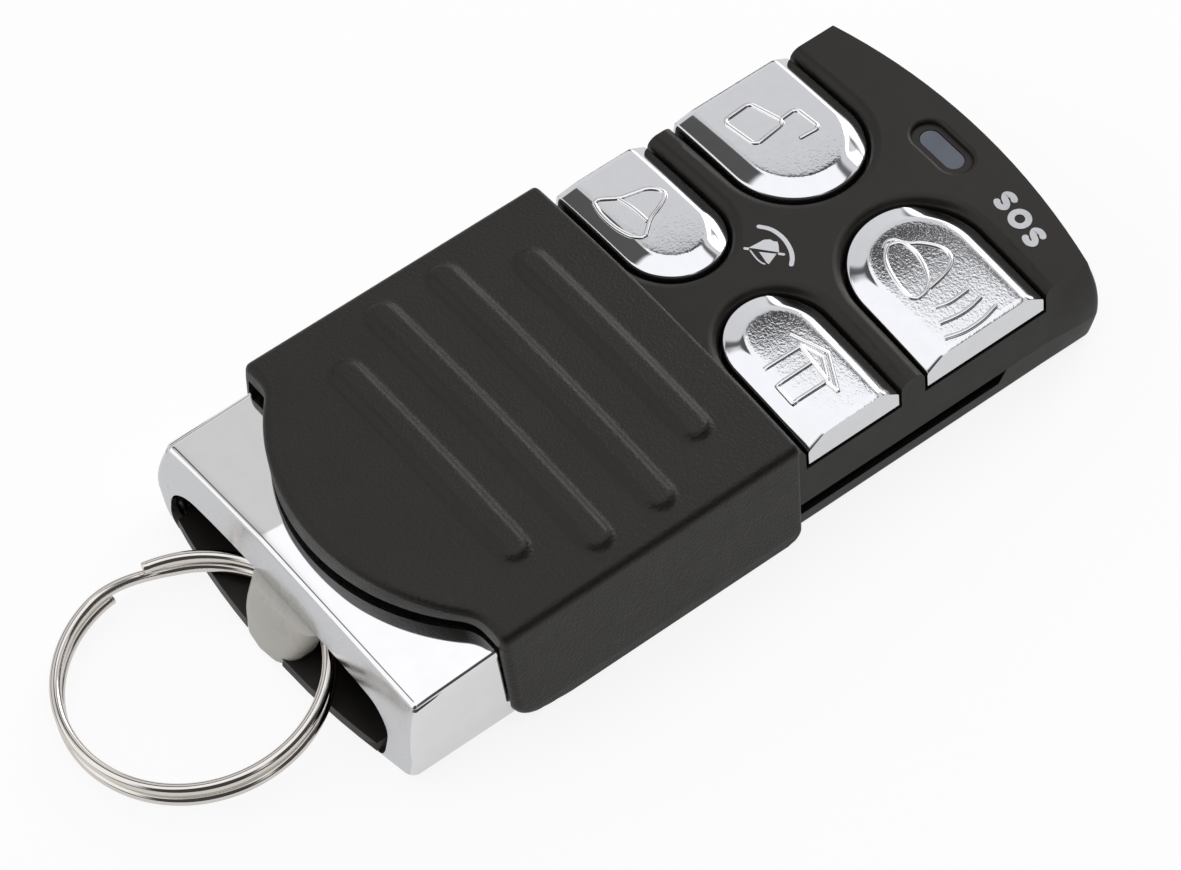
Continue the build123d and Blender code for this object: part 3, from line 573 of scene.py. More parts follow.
class Finish(Enum):
    """Every finish on the fob."""

    BODY = Moulding("body_black", (0.0125, 0.0110, 0.0098), 0.40, 0.18, 0.006, 0.40)
    COVER = Moulding("cover_black", (0.0145, 0.0130, 0.0112), 0.40, 0.22, 0.05, 0.38)
    TRIM = Plating("trim_chrome", (0.94, 0.94, 0.94), 0.06, 6.0, 0.004)
    FACE = Plating("face_chrome", (0.80, 0.805, 0.82), 0.26, 3.0, 0.008)
    BUTTON = Plating("button_chrome", (0.88, 0.885, 0.90), 0.05, 3.0, 0.004, 0.23, 0.0078, 0.06,
                     haze_size=1.0)
    POST = Ivory("post_ivory", (0.70, 0.68, 0.62), 1.5, 0.35)
    RING = Plating("ring_nickel", (0.84, 0.80, 0.75), 0.06, 4.0, 0.003)
    WINDOW = Moulding("window_smoke", (0.16, 0.18, 0.22), 0.18, 0.6, 0.002)
    LAMP = Moulding("lamp_red", (0.45, 0.04, 0.03), 0.2, 0.4, 0.002)
    PRINT = Moulding("print_white", (0.80, 0.81, 0.83), 0.5, 0.15, 0.002)
    BOARD = Moulding("board_green", (0.02, 0.12, 0.06), 0.35, 0.4, 0.006)
    RESIN = Moulding("resin_black", (0.02, 0.02, 0.022), 0.55, 0.15, 0.008)
    PLUNGER = Moulding("plunger_nylon", (0.30, 0.26, 0.18), 0.5, 0.3, 0.005)
    STEEL = Plating("cell_steel", (0.62, 0.61, 0.58), 0.25, 0.4, 0.003)
    SPRING = Plating("contact_plate", (0.72, 0.63, 0.42), 0.2, 0.8, 0.003)
    COPPER = Plating("antenna_copper", (0.70, 0.42, 0.24), 0.3, 0.8, 0.004)
    SCREW = Plating("screw_zinc", (0.45, 0.45, 0.46), 0.3, 0.5, 0.006)


@cache
def material(finish: Finish) -> Material:
    """The finish's material, made once."""
    return finish.value.build()


def deliver(piece: Piece, body: str, slot: str = "", *nodes: str) -> None:
    """Sets a piece on its body and reports it.

    Args:
        piece: the piece.
        body: the body that it moves with.
        slot: its slot, if it has one; not used.
        nodes: the CAD nodes that it stands for.
    """
    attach(piece, body)
    if nodes:
        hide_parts(*nodes)
    log.info("%s: %d faces on %s", piece.name, len(piece.data.polygons), body)


def dress(node: str, finish: Finish) -> None:
    """Gives a CAD node its material and reports it.

    Args:
        node: the node's name.
        finish: what it is to look like.
    """
    data = NODES[node].data
    data.materials.clear()
    data.materials.append(material(finish))
    log.info("%s: dressed as %s", node, finish.value.name)


@dataclass
class Deck:
    """The drafted body that the other pieces line up with."""

    body_half: float = 14.7
    crease_half: float = 14.1
    crease_z: float = 8.2
    crown: float = 0.8
    parting_z: float = 2.65

    def side_half(self, level: Array) -> Array:
        """Half the body's width at a height: it narrows evenly from the parting line to the crease."""
        slope = (self.body_half - self.crease_half) / (self.crease_z - self.parting_z)
        return self.body_half - (level - self.parting_z) * slope

    def height(self, x: Array) -> Array:
        """The deck's height: an arc whose rise over its chord is the crown."""
        radius = (self.crease_half**2 + self.crown**2) / (2.0 * self.crown)
        return self.crease_z + self.crown - radius + np.sqrt(radius * radius - x**2)


@dataclass
class SlideCover:
    """The sliding cover: a crowned sleeve with a round tongue, soft edges and four grip ribs."""

    deck: Deck
    front_y: float = 2.9
    back_y: float = -22.9
    bottom_z: float = 0.2
    bottom_half: float = 15.6
    draft_z: float = 1.2
    draft_radius: float = 3.0
    crease_half: float = 14.85
    crease_z: float = 10.1
    crease_radius: float = 0.7
    crown: float = 0.7
    running_gap: float = 0.2
    roof: float = 1.0
    back_corner: float = 2.2
    front_corner: float = 1.0
    back_lean: float = 0.5
    tongue_radius: float = 17.0
    tongue_center_y: float = -11.0
    tongue_under_z: float = 8.7
    tongue_rim: tuple = (1.0, 1.2)
    blend_radius: float = 3.0
    front_roll: float = 0.3
    back_roll: float = 0.55
    top_tilt: tuple = (0.8, 0.98)
    rib_half_width: float = 1.3
    rib_height: float = 0.40
    rib_flank: tuple = (0.5, 1.08)
    ribs: tuple = ((-1.9, 10.4), (-7.4, 13.3), (-12.85, 13.3), (-17.9, 10.6))
    lip_depth: float = 0.9
    lip_sink: float = 0.02
    lip_radius: float = 0.15
    lip_arc_steps: int = 4
    lip_scales: tuple = (0.001, 1.0, 1.0, 0.001)
    lip_y: tuple = (-18.6, -2.4)
    lip_z: tuple = (1.57, 2.53)
    arc_steps: int = 9
    spacing: float = 0.2
    front_zone: float = 1.5
    front_steps: int = 12
    front_crowding: float = 1.6
    back_zone: float = -19.7
    back_steps: int = 36
    back_crowding: float = 1.8
    sharp_angle: float = 50.0

    def section(self) -> Array:
        """The outer cross-section: a drafted side, the crown's parabola over the crease, and a side.

        Returns:
            Its points as (x, z), from one bottom edge to the other.
        """
        side = [(self.bottom_half, self.bottom_z), (self.bottom_half, self.draft_z),
                (self.crease_half, self.crease_z)]
        radii = [self.draft_radius, self.crease_radius, self.crease_radius, self.draft_radius]
        flat = rounded_path([(-x, z) for x, z in side] + side[::-1], radii, self.arc_steps)
        path = divided(flat, self.spacing)
        path[:, 1] += self.crown * held(1.0 - (path[:, 0] / self.crease_half) ** 2)
        return path

    def on_roof(self, x: Array) -> Array:
        """Whether a place lies between the two soft creases."""
        return np.abs(x) < self.crease_half - self.crease_radius

    def back_line(self, x: Array) -> Array:
        """Where the top ends: straight sides, hollow quarter blends, and the tongue's circle between.

        Args:
            x: places across the cover.

        Returns:
            The edge's y at each place.
        """
        reach = self.tongue_radius + self.blend_radius
        blend_y = self.back_y - self.blend_radius
        blend_x = math.sqrt(reach**2 - (blend_y - self.tongue_center_y) ** 2)
        joint_x = blend_x * self.tongue_radius / reach
        across = np.abs(x)
        tongue = self.tongue_center_y - np.sqrt(np.maximum(self.tongue_radius**2 - across**2, 0.0))
        hollow = blend_y + np.sqrt(np.maximum(self.blend_radius**2 - (blend_x - across) ** 2, 0.0))
        return np.where(across < joint_x, tongue, np.where(across < blend_x, hollow, self.back_y))

    def side_ends(self, z: Array) -> tuple[Array, Array]:
        """Where the side walls start and end: round lower corners and a leaning back.

        Args:
            z: heights on the wall.

        Returns:
            The front's y and the back's y at each height.
        """
        low = z - self.bottom_z
        lean = self.back_lean * held(1.0 - low / (self.tongue_under_z - self.bottom_z))
        front = self.front_y - rolled(low, self.front_corner)
        return front, self.back_y + lean + rolled(low, self.back_corner)

    def rib_rise(self, x: Array, y: Array) -> Array:
        """The ribs' height over the crown: a smooth step of the distance to each rib's middle line.

        Args:
            x: places across the cover.
            y: places along it.

        Returns:
            The highest rise at each place.
        """
        rises = []
        for rib_y, half_length in self.ribs:
            past = np.maximum(np.abs(x) - (half_length - self.rib_half_width), 0.0)
            distance = np.hypot(past, y - rib_y) / self.rib_half_width
            rises.append(1.0 - ease(distance, *self.rib_flank))
        return self.rib_height * np.max(rises, axis=0)

    def rows(self, front: Array, back: Array) -> Array:
        """The y of every row: rows crowd towards both edges, and are even between them.

        Args:
            front: the front edge's y in each column.
            back: the back edge's y.

        Returns:
            Rows by columns.
        """
        near = np.linspace(0.0, 1.0, self.front_steps)[:, None] ** self.front_crowding
        far = 1.0 - (1.0 - np.linspace(0.0, 1.0, self.back_steps)[:, None]) ** self.back_crowding
        middle = np.arange(self.front_zone - self.spacing, self.back_zone, -self.spacing)
        return np.concatenate([blend(front, self.front_zone, near), stacked(*[middle] * len(front)),
                               blend(self.back_zone, back, far)])

    def build(self) -> None:
        """Makes the cover from an outer grid and an inner one with the same rows and columns."""
        path = self.section()
        x, z = path.T
        front, back_side = self.side_ends(z)
        back = np.where(self.on_roof(x), self.back_line(x), back_side)
        y = self.rows(front, back)
        run = run_along(path)
        normal = unit(stacked(-np.gradient(z, run), np.gradient(x, run)))
        from_back = np.maximum(y - back, 0.0) / np.hypot(1.0, np.gradient(back, run))
        drop = rolled(front - y, self.front_roll) + rolled(from_back, self.back_roll)
        lift = self.rib_rise(x, y) * ease(np.abs(normal[:, 1]), *self.top_tilt) - drop
        surface = Surface()
        surface.shell(stacked(x + normal[:, 0] * lift, y, z + normal[:, 1] * lift),
                      self.inner_points(x, z, y, from_back))
        for side in (-1, 1):
            self.add_lip(surface, side)
        piece = surface.build("slide_cover_shell", self.sharp_angle, Finish.COVER)
        deliver(piece, "cover", "cover_plastic", "slide_cover")

    def inner_points(self, x: Array, z: Array, y: Array, from_back: Array) -> Array:
        """The inner wall: the body's side with the running gap, the roof, and the tongue's lower rim.

        Args:
            x: the outer wall's place across, in each column.
            z: its height.
            y: its place along, rows by columns.
            from_back: how far it lies inside the back edge.

        Returns:
            Rows by columns by 3.
        """
        roof_edge = self.crease_z - self.roof
        share = held((z - self.bottom_z) / (self.crease_z - self.bottom_z))
        level = blend(self.bottom_z, roof_edge, share)
        roof_half = self.deck.side_half(roof_edge) + self.running_gap
        wall_half = self.deck.side_half(np.maximum(level, self.deck.parting_z)) + self.running_gap
        top = self.on_roof(x)
        inner_x = np.where(top, x * roof_half / self.crease_half, np.sign(x) * wall_half)
        rise = self.crown * held(1.0 - (inner_x / roof_half) ** 2)
        inner_z = np.where(top, roof_edge + rise, level)
        rim = 1.0 - ease(from_back, *self.tongue_rim)
        return stacked(inner_x, y, blend(inner_z, np.minimum(inner_z, self.tongue_under_z), rim))

    def add_lip(self, surface: Surface, side: int) -> None:
        """Adds the lip that runs in the body's rail: a bar with rounded edges inside the wall.

        Args:
            surface: the mesh data to add to.
            side: 1 on the near side and -1 on the far one.
        """
        wide, high = self.lip_depth / 2, (self.lip_z[1] - self.lip_z[0]) / 2
        middle_x = side * (self.deck.body_half + self.running_gap - wide + self.lip_sink)
        corners = [(0, -high), (wide, -high), (wide, high), (-wide, high), (-wide, -high), (0, -high)]
        x, z = rounded_path(corners, [self.lip_radius] * 4, self.lip_arc_steps)[:-1].T
        scale = np.array(self.lip_scales)[:, None]
        ends = np.repeat(self.lip_y, 2)[:, None]
        surface.grid(stacked(middle_x + scale * x, ends, sum(self.lip_z) / 2 + scale * z), around=True)


@dataclass
class Key:
    """A chromed button: a bar with a round inner end, a mirror bevel and a pearled top."""

    name: str
    side: int
    middle_y: float
    half: float
    inner_x: float
    deck: Deck
    outer_drop: float = 0.32
    inner_drop: float = 0.45
    lamp_drop: float = 1.05
    lamp_side: tuple = (0.35, 0.95)
    bottom_z: float = 6.4
    bevel: float = 1.5
    bevel_tail: float = 0.8
    top_z: float = 9.3
    crown: float = 0.6
    soft: float = 0.12
    edge_roll: float = 0.14
    end_roll: float = 0.08
    stem_x: float = 8.2
    stem_radius: float = 1.3
    stem_z: tuple = (5.3, 6.8)
    pearl_z: float = 8.0
    pearl_edge: tuple = (-0.15, 0.4)
    straight_steps: int = 30
    turn_steps: int = 49
    inset_steps: tuple = (5, 24, 16)
    sharp_angle: float = 40.0

    @property
    def round_x(self) -> float:
        """How far out the centre of the key's round end lies."""
        return self.inner_x + self.half

    def spine_distance(self, x: Array, y: Array) -> Array:
        """The distance from a place on the key to its spine."""
        return np.hypot(np.maximum(self.round_x - np.abs(x), 0.0), y - self.middle_y)

    def height(self, x: Array, y: Array) -> Array:
        """The key's surface height at a place on it."""
        return self.profile(self.spine_distance(x, y), x, y - self.middle_y)

    def profile(self, radius: Array, x: Array, aside: Array) -> Array:
        """The height at a place: the crowned top less a softly starting bevel and the edge's roll.

        Args:
            radius: its distance from the key's spine.
            x: its place across the body.
            aside: how far it lies towards the lamp end from the key's middle.

        Returns:
            The height.
        """
        inset = self.half - radius
        past = 1.0 - inset / self.bevel
        fall = (past + np.sqrt(past * past + self.soft * self.soft)) / 2.0
        share = held((np.abs(x) - self.inner_x) / (self.deck.body_half - self.inner_x))
        lamp_share = ease(aside / np.maximum(radius, self.edge_roll), *self.lamp_side)
        drop = blend(blend(self.inner_drop, self.outer_drop, share), self.lamp_drop, lamp_share)
        top_half = self.deck.side_half(self.top_z - self.crown)
        top = self.top_z - self.crown * (np.abs(x) / top_half) ** 2
        return top - drop * fall - rolled(inset, self.edge_roll)

    def build(self) -> None:
        """Makes the key from rings of stations round its outline, from its foot in to its spine."""
        round_x, reach = self.round_x, self.deck.body_half
        bar = blend(round_x, reach, np.linspace(1.0, 0.0, self.straight_steps, endpoint=False))
        turn = np.linspace(0.0, math.pi, self.turn_steps)
        along = np.concatenate([bar, np.full(len(turn), round_x), bar[::-1]])
        angle = np.concatenate([np.zeros(len(bar)), turn, np.full(len(bar), math.pi)])
        stops = (0.0, self.edge_roll, self.bevel + self.bevel_tail, self.half)
        inset = np.concatenate([[0.0]] + [np.linspace(low, high, steps)[1:] for low, high, steps
                                          in zip(stops, stops[1:], self.inset_steps)])
        radius = np.concatenate([[0.0, self.half], self.half - inset])[:, None]
        x = along - radius * np.sin(angle)
        y = radius * np.cos(angle)
        z = self.profile(radius, x, y)
        z[:2] = self.bottom_z
        limit = self.deck.side_half(z)
        x = np.where(along > round_x, blend(round_x, limit, (along - round_x) / (reach - round_x)), x)
        z[2:] -= rolled((limit - x)[2:], self.end_roll)
        surface = Surface()
        index = surface.grid(stacked(self.side * x, self.middle_y + y, z))
        surface.quads(index[:, -1], index[:, 0])
        low, high = self.stem_z
        stem = [(0.0, low), (self.stem_radius, low), (self.stem_radius, high), (0.0, high)]
        surface.turned(stem, (self.side * self.stem_x, self.middle_y))
        piece = surface.build(self.name + "_key_top", self.sharp_angle, Finish.BUTTON)
        self.mark_pearl(piece.data)
        deliver(piece, self.name + "_key", "button_chrome", self.name + "_button")

    def mark_pearl(self, mesh: Mesh) -> None:
        """Writes the attribute pearl: 1 on the flat top, easing to 0 on the bevel.

        Args:
            mesh: the key's mesh.
        """
        x, y, z = coordinates(mesh).T
        low, high = self.pearl_edge
        inset = self.half - self.spine_distance(x, y)
        pearl = ease(inset, self.bevel + low, self.bevel + high) * (z > self.pearl_z)
        attribute = mesh.attributes.new("pearl", "FLOAT", "POINT")
        attribute.data.foreach_set("value", pearl.astype(np.float32))


@dataclass
class EndCap:
    """The chrome cap: an upturned trough with a bowed end face and a wide arched slot in it."""

    deck: Deck
    seam_y: float = -19.1
    face_y: float = -30.3
    face_lean: float = 0.35
    seam_z: float = 8.4
    ring_z: float = 7.9
    bottom_inset: float = 0.35
    wall: float = 1.0
    inner_top_z: float = 7.4
    inner_radius: float = 0.5
    slot_half: float = 11.9
    slot_far_half: float = 13.2
    slot_top_z: float = 4.4
    slot_radius: float = 2.4
    slot_foot: float = 0.8
    slot_foot_z: float = 1.3
    slot_edge: float = 0.12
    foot_kick: float = 0.2
    foot_bow: float = 1.35
    foot_top_z: float = 3.2
    foot_corner: float = 15.0
    foot_sides: tuple = (9.0, 11.0)
    crisp: float = 0.34
    corner: float = 0.7
    corner_z: tuple = (6.5, 7.7)
    side_bow: float = 0.35
    face_bow: float = 0.25
    corner_bow: float = 0.55
    bow_start_y: float = -23.5
    far_droop: float = 0.62
    droop_start: float = -3.4
    droop_blend: float = 0.2
    droop_run: float = 0.2
    droop_depth: float = 1.0
    straight_gap: float = 1.6
    straight_rows: int = 24
    turn_rows: int = 9
    crease_row: int = 5
    face_shares: tuple = (0.2, 0.4, 0.6, 0.8, 0.93, 0.985)
    leg_count: int = 22
    arc_count: int = 9
    top_count: int = 121
    sharp_angle: float = 45.0

    def trough(self, half: Callable[[Array], Array], top: float, radius: float, droop: float = 0.0) -> Array:
        """An upturned U in a cross-section: a leg, an arc, the top, an arc and a leg.

        Args:
            half: a function that gives half the width at each height.
            top: the height of the U's top.
            radius: the radius of its two arcs.
            droop: how far the top's far end hangs below its middle.

        Returns:
            The points as (x, z), from the foot of one leg to the foot of the other.
        """
        leg_z = np.linspace(0.0, top - radius, self.leg_count)
        turn = np.linspace(0.0, QUARTER_TURN, self.arc_count + 1)[1:]
        reach = half(np.array([top]))[0]
        arc = stacked(reach - radius + radius * np.cos(turn), top - radius + radius * np.sin(turn))
        side = np.concatenate([stacked(half(leg_z), leg_z), arc])
        across = np.linspace(-(reach - radius), reach - radius, self.top_count)[1:-1]
        path = np.concatenate([side * (-1.0, 1.0), stacked(across, top), side[::-1]])
        past = np.maximum(self.droop_start - path[:, 0], 0.0)
        tilted = np.hypot(past, self.droop_blend) - self.droop_blend
        near_top = ease(path[:, 1], top - self.droop_depth, top)
        path[:, 1] -= droop * tilted / (self.droop_start + reach) * near_top
        return path

    def bow(self, z: Array) -> Array:
        """How far the walls swell at a height: a sine from 0 at the back to 1 halfway and 0 at the top."""
        return np.sin(math.pi * held(z / self.ring_z))

    def half_width(self, z: Array, y: float) -> Array:
        """Half the cap's width: the body's draft, drawn in below the parting line, with the swell added.

        Args:
            z: heights on the wall.
            y: the place along the cap.

        Returns:
            The half width at each height.
        """
        foot = self.bottom_inset * held(1.0 - z / self.deck.parting_z)
        drafted = self.deck.side_half(np.maximum(z, self.deck.parting_z)) - foot
        return drafted + self.side_bow * ease(-y, -self.bow_start_y, -self.face_y) * self.bow(z)

    def face(self, x: Array, z: Array) -> Array:
        """The end face's place: it leans in towards its top, and swells more towards its corners.

        Args:
            x: places across the face.
            z: their heights.

        Returns:
            The face's y at each place.
        """
        swell = self.face_bow + self.corner_bow * np.abs(x / self.deck.body_half) ** 3
        foot = self.foot_kick + self.foot_bow * held(1.0 - (x / self.foot_corner) ** 2)
        foot = foot * ease(np.abs(x), *self.foot_sides) * (1.0 - ease(z, 0.0, self.foot_top_z))
        return self.face_y + self.face_lean * z / self.seam_z - swell * self.bow(z) - foot

    def slot_width(self, z: Array) -> Array:
        """Half the slot's width at a height: even, but drawn in round the foot of each side."""
        low = held(1.0 - z / self.slot_foot_z)
        return self.slot_half - self.slot_foot * (1.0 - np.sqrt(1.0 - low * low))

    def outer(self, y: float) -> Array:
        """The outer cross-section at a place along the cap, as (x, z).

        Args:
            y: the place.

        Returns:
            The points from one foot to the other.
        """
        share = (self.seam_y - y) / (self.seam_y - self.face_y)
        droop = self.far_droop * float(ease(share, 0.0, self.droop_run))
        top = blend(self.seam_z, self.ring_z, share)
        return self.trough(lambda z: self.half_width(z, y), top, self.crisp, droop)

    def build(self) -> None:
        """Makes the cap from cross-sections joined in a loop: outside, face, slot and inside."""
        rows = []
        for y in np.linspace(self.seam_y, self.face_y + self.straight_gap, self.straight_rows):
            x, z = self.outer(y).T
            rows.append(stacked(x, y, z))
        rim = self.outer(self.face_y)
        normal = unit(stacked(-np.gradient(rim[:, 1]), np.gradient(rim[:, 0])))
        radius = blend(self.crisp, self.corner, 1.0 - ease(rim[:, 1], *self.corner_z))
        for turn in np.linspace(0.0, QUARTER_TURN, self.turn_rows):
            x, z = (rim - normal * (radius * (1.0 - math.cos(turn)))[:, None]).T
            rows.append(stacked(x, self.face(x, z) + radius * (1.0 - math.sin(turn)), z))
        slot = self.trough(self.slot_width, self.slot_top_z, self.slot_radius)
        slot[:, 0] *= np.where(slot[:, 0] < 0.0, self.slot_far_half / self.slot_half, 1.0)
        edge = rim - normal * radius[:, None]
        for share in self.face_shares:
            x, z = blend(edge, slot, share).T
            rows.append(stacked(x, self.face(x, z), z))
        x, z = slot.T
        for depth in (self.slot_edge, self.wall):
            rows.append(stacked(x, self.face(x, z) + depth, z))
        inner_half = self.deck.body_half - self.wall
        inside = self.trough(lambda z: np.full(len(z), inner_half), self.inner_top_z, self.inner_radius)
        x, z = inside.T
        for y in (self.face_y + self.wall + self.face_lean, self.seam_y):
            rows.append(stacked(x, y, z))
        points = np.stack(rows, axis=1)
        first = self.straight_rows + self.crease_row
        last = self.straight_rows + self.turn_rows + len(self.face_shares) - 1
        surface = Surface()
        surface.grid(points[:, :first + 1])
        surface.grid(points[:, first:last + 1], finish=1)
        surface.grid(np.concatenate([points[:, last:], points[:, :1]], axis=1))
        piece = surface.build("end_cap_shell", self.sharp_angle, Finish.TRIM, Finish.FACE)
        deliver(piece, "housing", "chrome_trim", "end_cap")


@dataclass
class RingPost:
    """The ivory post: a soft tapering pillar under the cap, with a neck and an arm behind the face.

    Each pair is the pillar's size at its foot and at its top.
    """

    z: tuple = (0.2, 4.42)
    half: tuple = (2.35, 3.65)
    middle_x: tuple = (-0.55, -0.15)
    front_y: tuple = (-32.5, -31.3)
    widening: float = 0.6
    front_bow: float = 0.3
    back_y: float = -29.6
    bulge: float = 0.2
    radii: tuple = (1.2, 0.5, 0.5, 1.2)
    arc_steps: int = 9
    levels: int = 24
    neck: tuple = ((-3.4, -29.9, 4.3), (3.4, -29.35, 6.4))
    arm: tuple = ((-3.4, -29.4, 5.5), (3.4, -25.6, 6.4))
    sharp_angle: float = 50.0

    def outline(self, share: float) -> Array:
        """The pillar's outline at a share of its height: a loop with wide round corners.

        Args:
            share: from 0 at the foot to 1 at the top.

        Returns:
            The loop's points, one row each.
        """
        half = blend(*self.half, share**self.widening)
        front = blend(*self.front_y, share) - self.bulge * math.sin(math.pi * share) ** 2
        side, back = front + self.front_bow, self.back_y
        corners = [(0.0, front), (half, side), (half, back), (-half, back), (-half, side), (0.0, front)]
        x, y = rounded_path(corners, self.radii, self.arc_steps)[:-1].T
        return stacked(x + blend(*self.middle_x, share), y, blend(*self.z, share))

    def build(self) -> None:
        """Makes the pillar from outlines at rising heights, and the hidden neck and arm as boxes."""
        surface = Surface()
        shares = np.linspace(0.0, 1.0, self.levels)
        surface.grid(np.stack([self.outline(share) for share in shares]), around=True)
        for low, high in (self.neck, self.arm):
            surface.box(low, high)
        piece = surface.build("ring_post_pillar", self.sharp_angle, Finish.POST)
        deliver(piece, "housing", "post_plastic", "ring_post")


@dataclass
class BowedShell:
    """A housing shell whose walls swell a little towards the lamp end, cut from its CAD mesh."""

    node: str
    deck: Deck
    side_bow: float = 0.35
    side_run_y: tuple = (25.5, 30.0)
    side_wall_x: tuple = (13.65, 13.95)
    end_bow: float = 0.5
    end_wall_y: tuple = (29.6, 30.4)
    end_run_x: tuple = (7.0, 13.5)
    levels: int = 18
    cuts_y: tuple = (26.0, 31.0, 0.5)
    ledge_ends: tuple = (-12.4, 11.1)
    ledge_cut: float = 0.02
    ledge_y: float = -28.9
    ledge_back_y: float = -30.1
    notch_x: tuple = (1.5, 3.9)
    notch_top_z: float = 1.6
    sharp_angle: float = 28.0

    def divided_copy(self) -> Mesh:
        """Cuts a copy of the CAD mesh at even heights, near the lamp end and at the ledge's ends.

        Returns:
            The new mesh.
        """
        source = NODES[self.node]
        work = bmesh.new()
        work.from_mesh(source.data)
        work.transform(source.matrix_world)
        far_x, near_x = self.ledge_ends
        cuts = [(2, z) for z in np.linspace(0.0, self.deck.crease_z, self.levels)[1:-1]]
        cuts += [(1, y) for y in np.arange(*self.cuts_y)]
        cuts += [(0, x) for x in (far_x - self.ledge_cut, far_x, near_x, near_x + self.ledge_cut)]
        for axis, place in cuts:
            geometry = work.verts[:] + work.edges[:] + work.faces[:]
            normal = Vector(np.eye(3)[axis])
            bmesh.ops.bisect_plane(work, geom=geometry, dist=MERGE_DISTANCE,
                                   plane_co=normal * float(place * MILLIMETRE), plane_no=normal)
        mesh = bpy.data.meshes.new(self.node + "_shell")
        work.to_mesh(mesh)
        work.free()
        return mesh

    def build(self) -> None:
        """Moves the copy's outer walls by a sine of the height, and trims the ledge's ends and its notch."""
        mesh = self.divided_copy()
        points = coordinates(mesh)
        x, y, z = points.T
        swell = np.sin(math.pi * held(z / self.deck.crease_z))
        on_side = ease(y, *self.side_run_y) * ease(np.abs(x), *self.side_wall_x)
        points[:, 0] += np.sign(x) * self.side_bow * swell * on_side
        points[:, 1] += self.end_bow * swell * ease(y, *self.end_wall_y) * ease(x, *self.end_run_x)
        far_x, near_x = self.ledge_ends
        ledge = y < self.ledge_y
        aside = ledge & ((x > near_x + self.ledge_cut / 2) | (x < far_x - self.ledge_cut / 2))
        points[aside, 1] = np.maximum(points[aside, 1], self.ledge_back_y)
        low, high = self.notch_x
        points[ledge & (x > low) & (x < high) & (z < self.notch_top_z), 0] = low
        mesh.vertices.foreach_set("co", (points * MILLIMETRE).astype(np.float32).ravel())
        mesh.polygons.foreach_set("material_index", np.zeros(len(mesh.polygons), np.int32))
        piece = finished(mesh.name, mesh, self.sharp_angle, [Finish.BODY])
        deliver(piece, "housing", "body_plastic", self.node)


@dataclass
class Relief:
    """Raised lines on a key: each is a half-sunk wire that follows the key's surface."""

    key: Key
    strokes: Sequence[Array]
    width: float = 0.185
    height: float = 0.14
    spacing: float = 0.12
    sides: int = 10
    sharp_angle: float = 60.0

    def build(self) -> None:
        """Makes the key's pictogram as one object."""
        surface = Surface()
        for stroke in self.strokes:
            closed = np.array_equal(stroke[0], stroke[-1])
            flat = divided(stroke, self.spacing)[:-1 if closed else None]
            path = np.column_stack([flat, self.key.height(*flat.T)])
            wire = tube(path, self.width, self.height, self.sides, closed)
            surface.grid(np.concatenate([wire, wire[:1]]) if closed else wire, around=True)
        piece = surface.build(self.key.name + "_pictogram", self.sharp_angle, Finish.TRIM)
        deliver(piece, self.key.name + "_key", "button_chrome")


LETTER_S = smooth_line([(0.85, 0.62), (0.35, 0.97), (-0.4, 0.97), (-0.88, 0.55), (-0.45, 0.12), (0.45, -0.12),
                        (0.88, -0.55), (0.4, -0.97), (-0.35, -0.97), (-0.9, -0.62)])
LETTER_O_TURN = np.linspace(0.0, 2.0 * math.pi, 41)
LETTER_O = stacked(np.cos(LETTER_O_TURN), np.sin(LETTER_O_TURN))
BELL_PATCHES = (
    [(-1.49, 11.73), (-1.42, 12.4), (-1.37, 13.05), (-1.12, 13.41), (-0.81, 13.51), (-0.63, 13.69),
     (-0.36, 13.56), (0.18, 13.17), (-0.40, 12.68), (-1.31, 11.90)],
    [(-0.74, 12.08), (0.17, 12.94), (0.39, 12.34), (0.54, 11.92), (0.36, 11.88)],
)
BELL_STROKES = (
    (smooth_line([(-1.28, 11.68), (-0.46, 11.57), (0.07, 11.59), (0.41, 11.73)]), 0.06),
    ([(-1.70, 11.42), (-1.36, 11.71)], 0.11),
    ([(0.20, 13.02), (0.61, 13.39)], 0.11),
    (smooth_line([(-2.66, 13.43), (-1.90, 13.98), (-1.15, 14.19), (-0.36, 14.19), (0.49, 13.96),
                  (1.13, 13.59), (1.67, 13.03)]), 0.17),
)


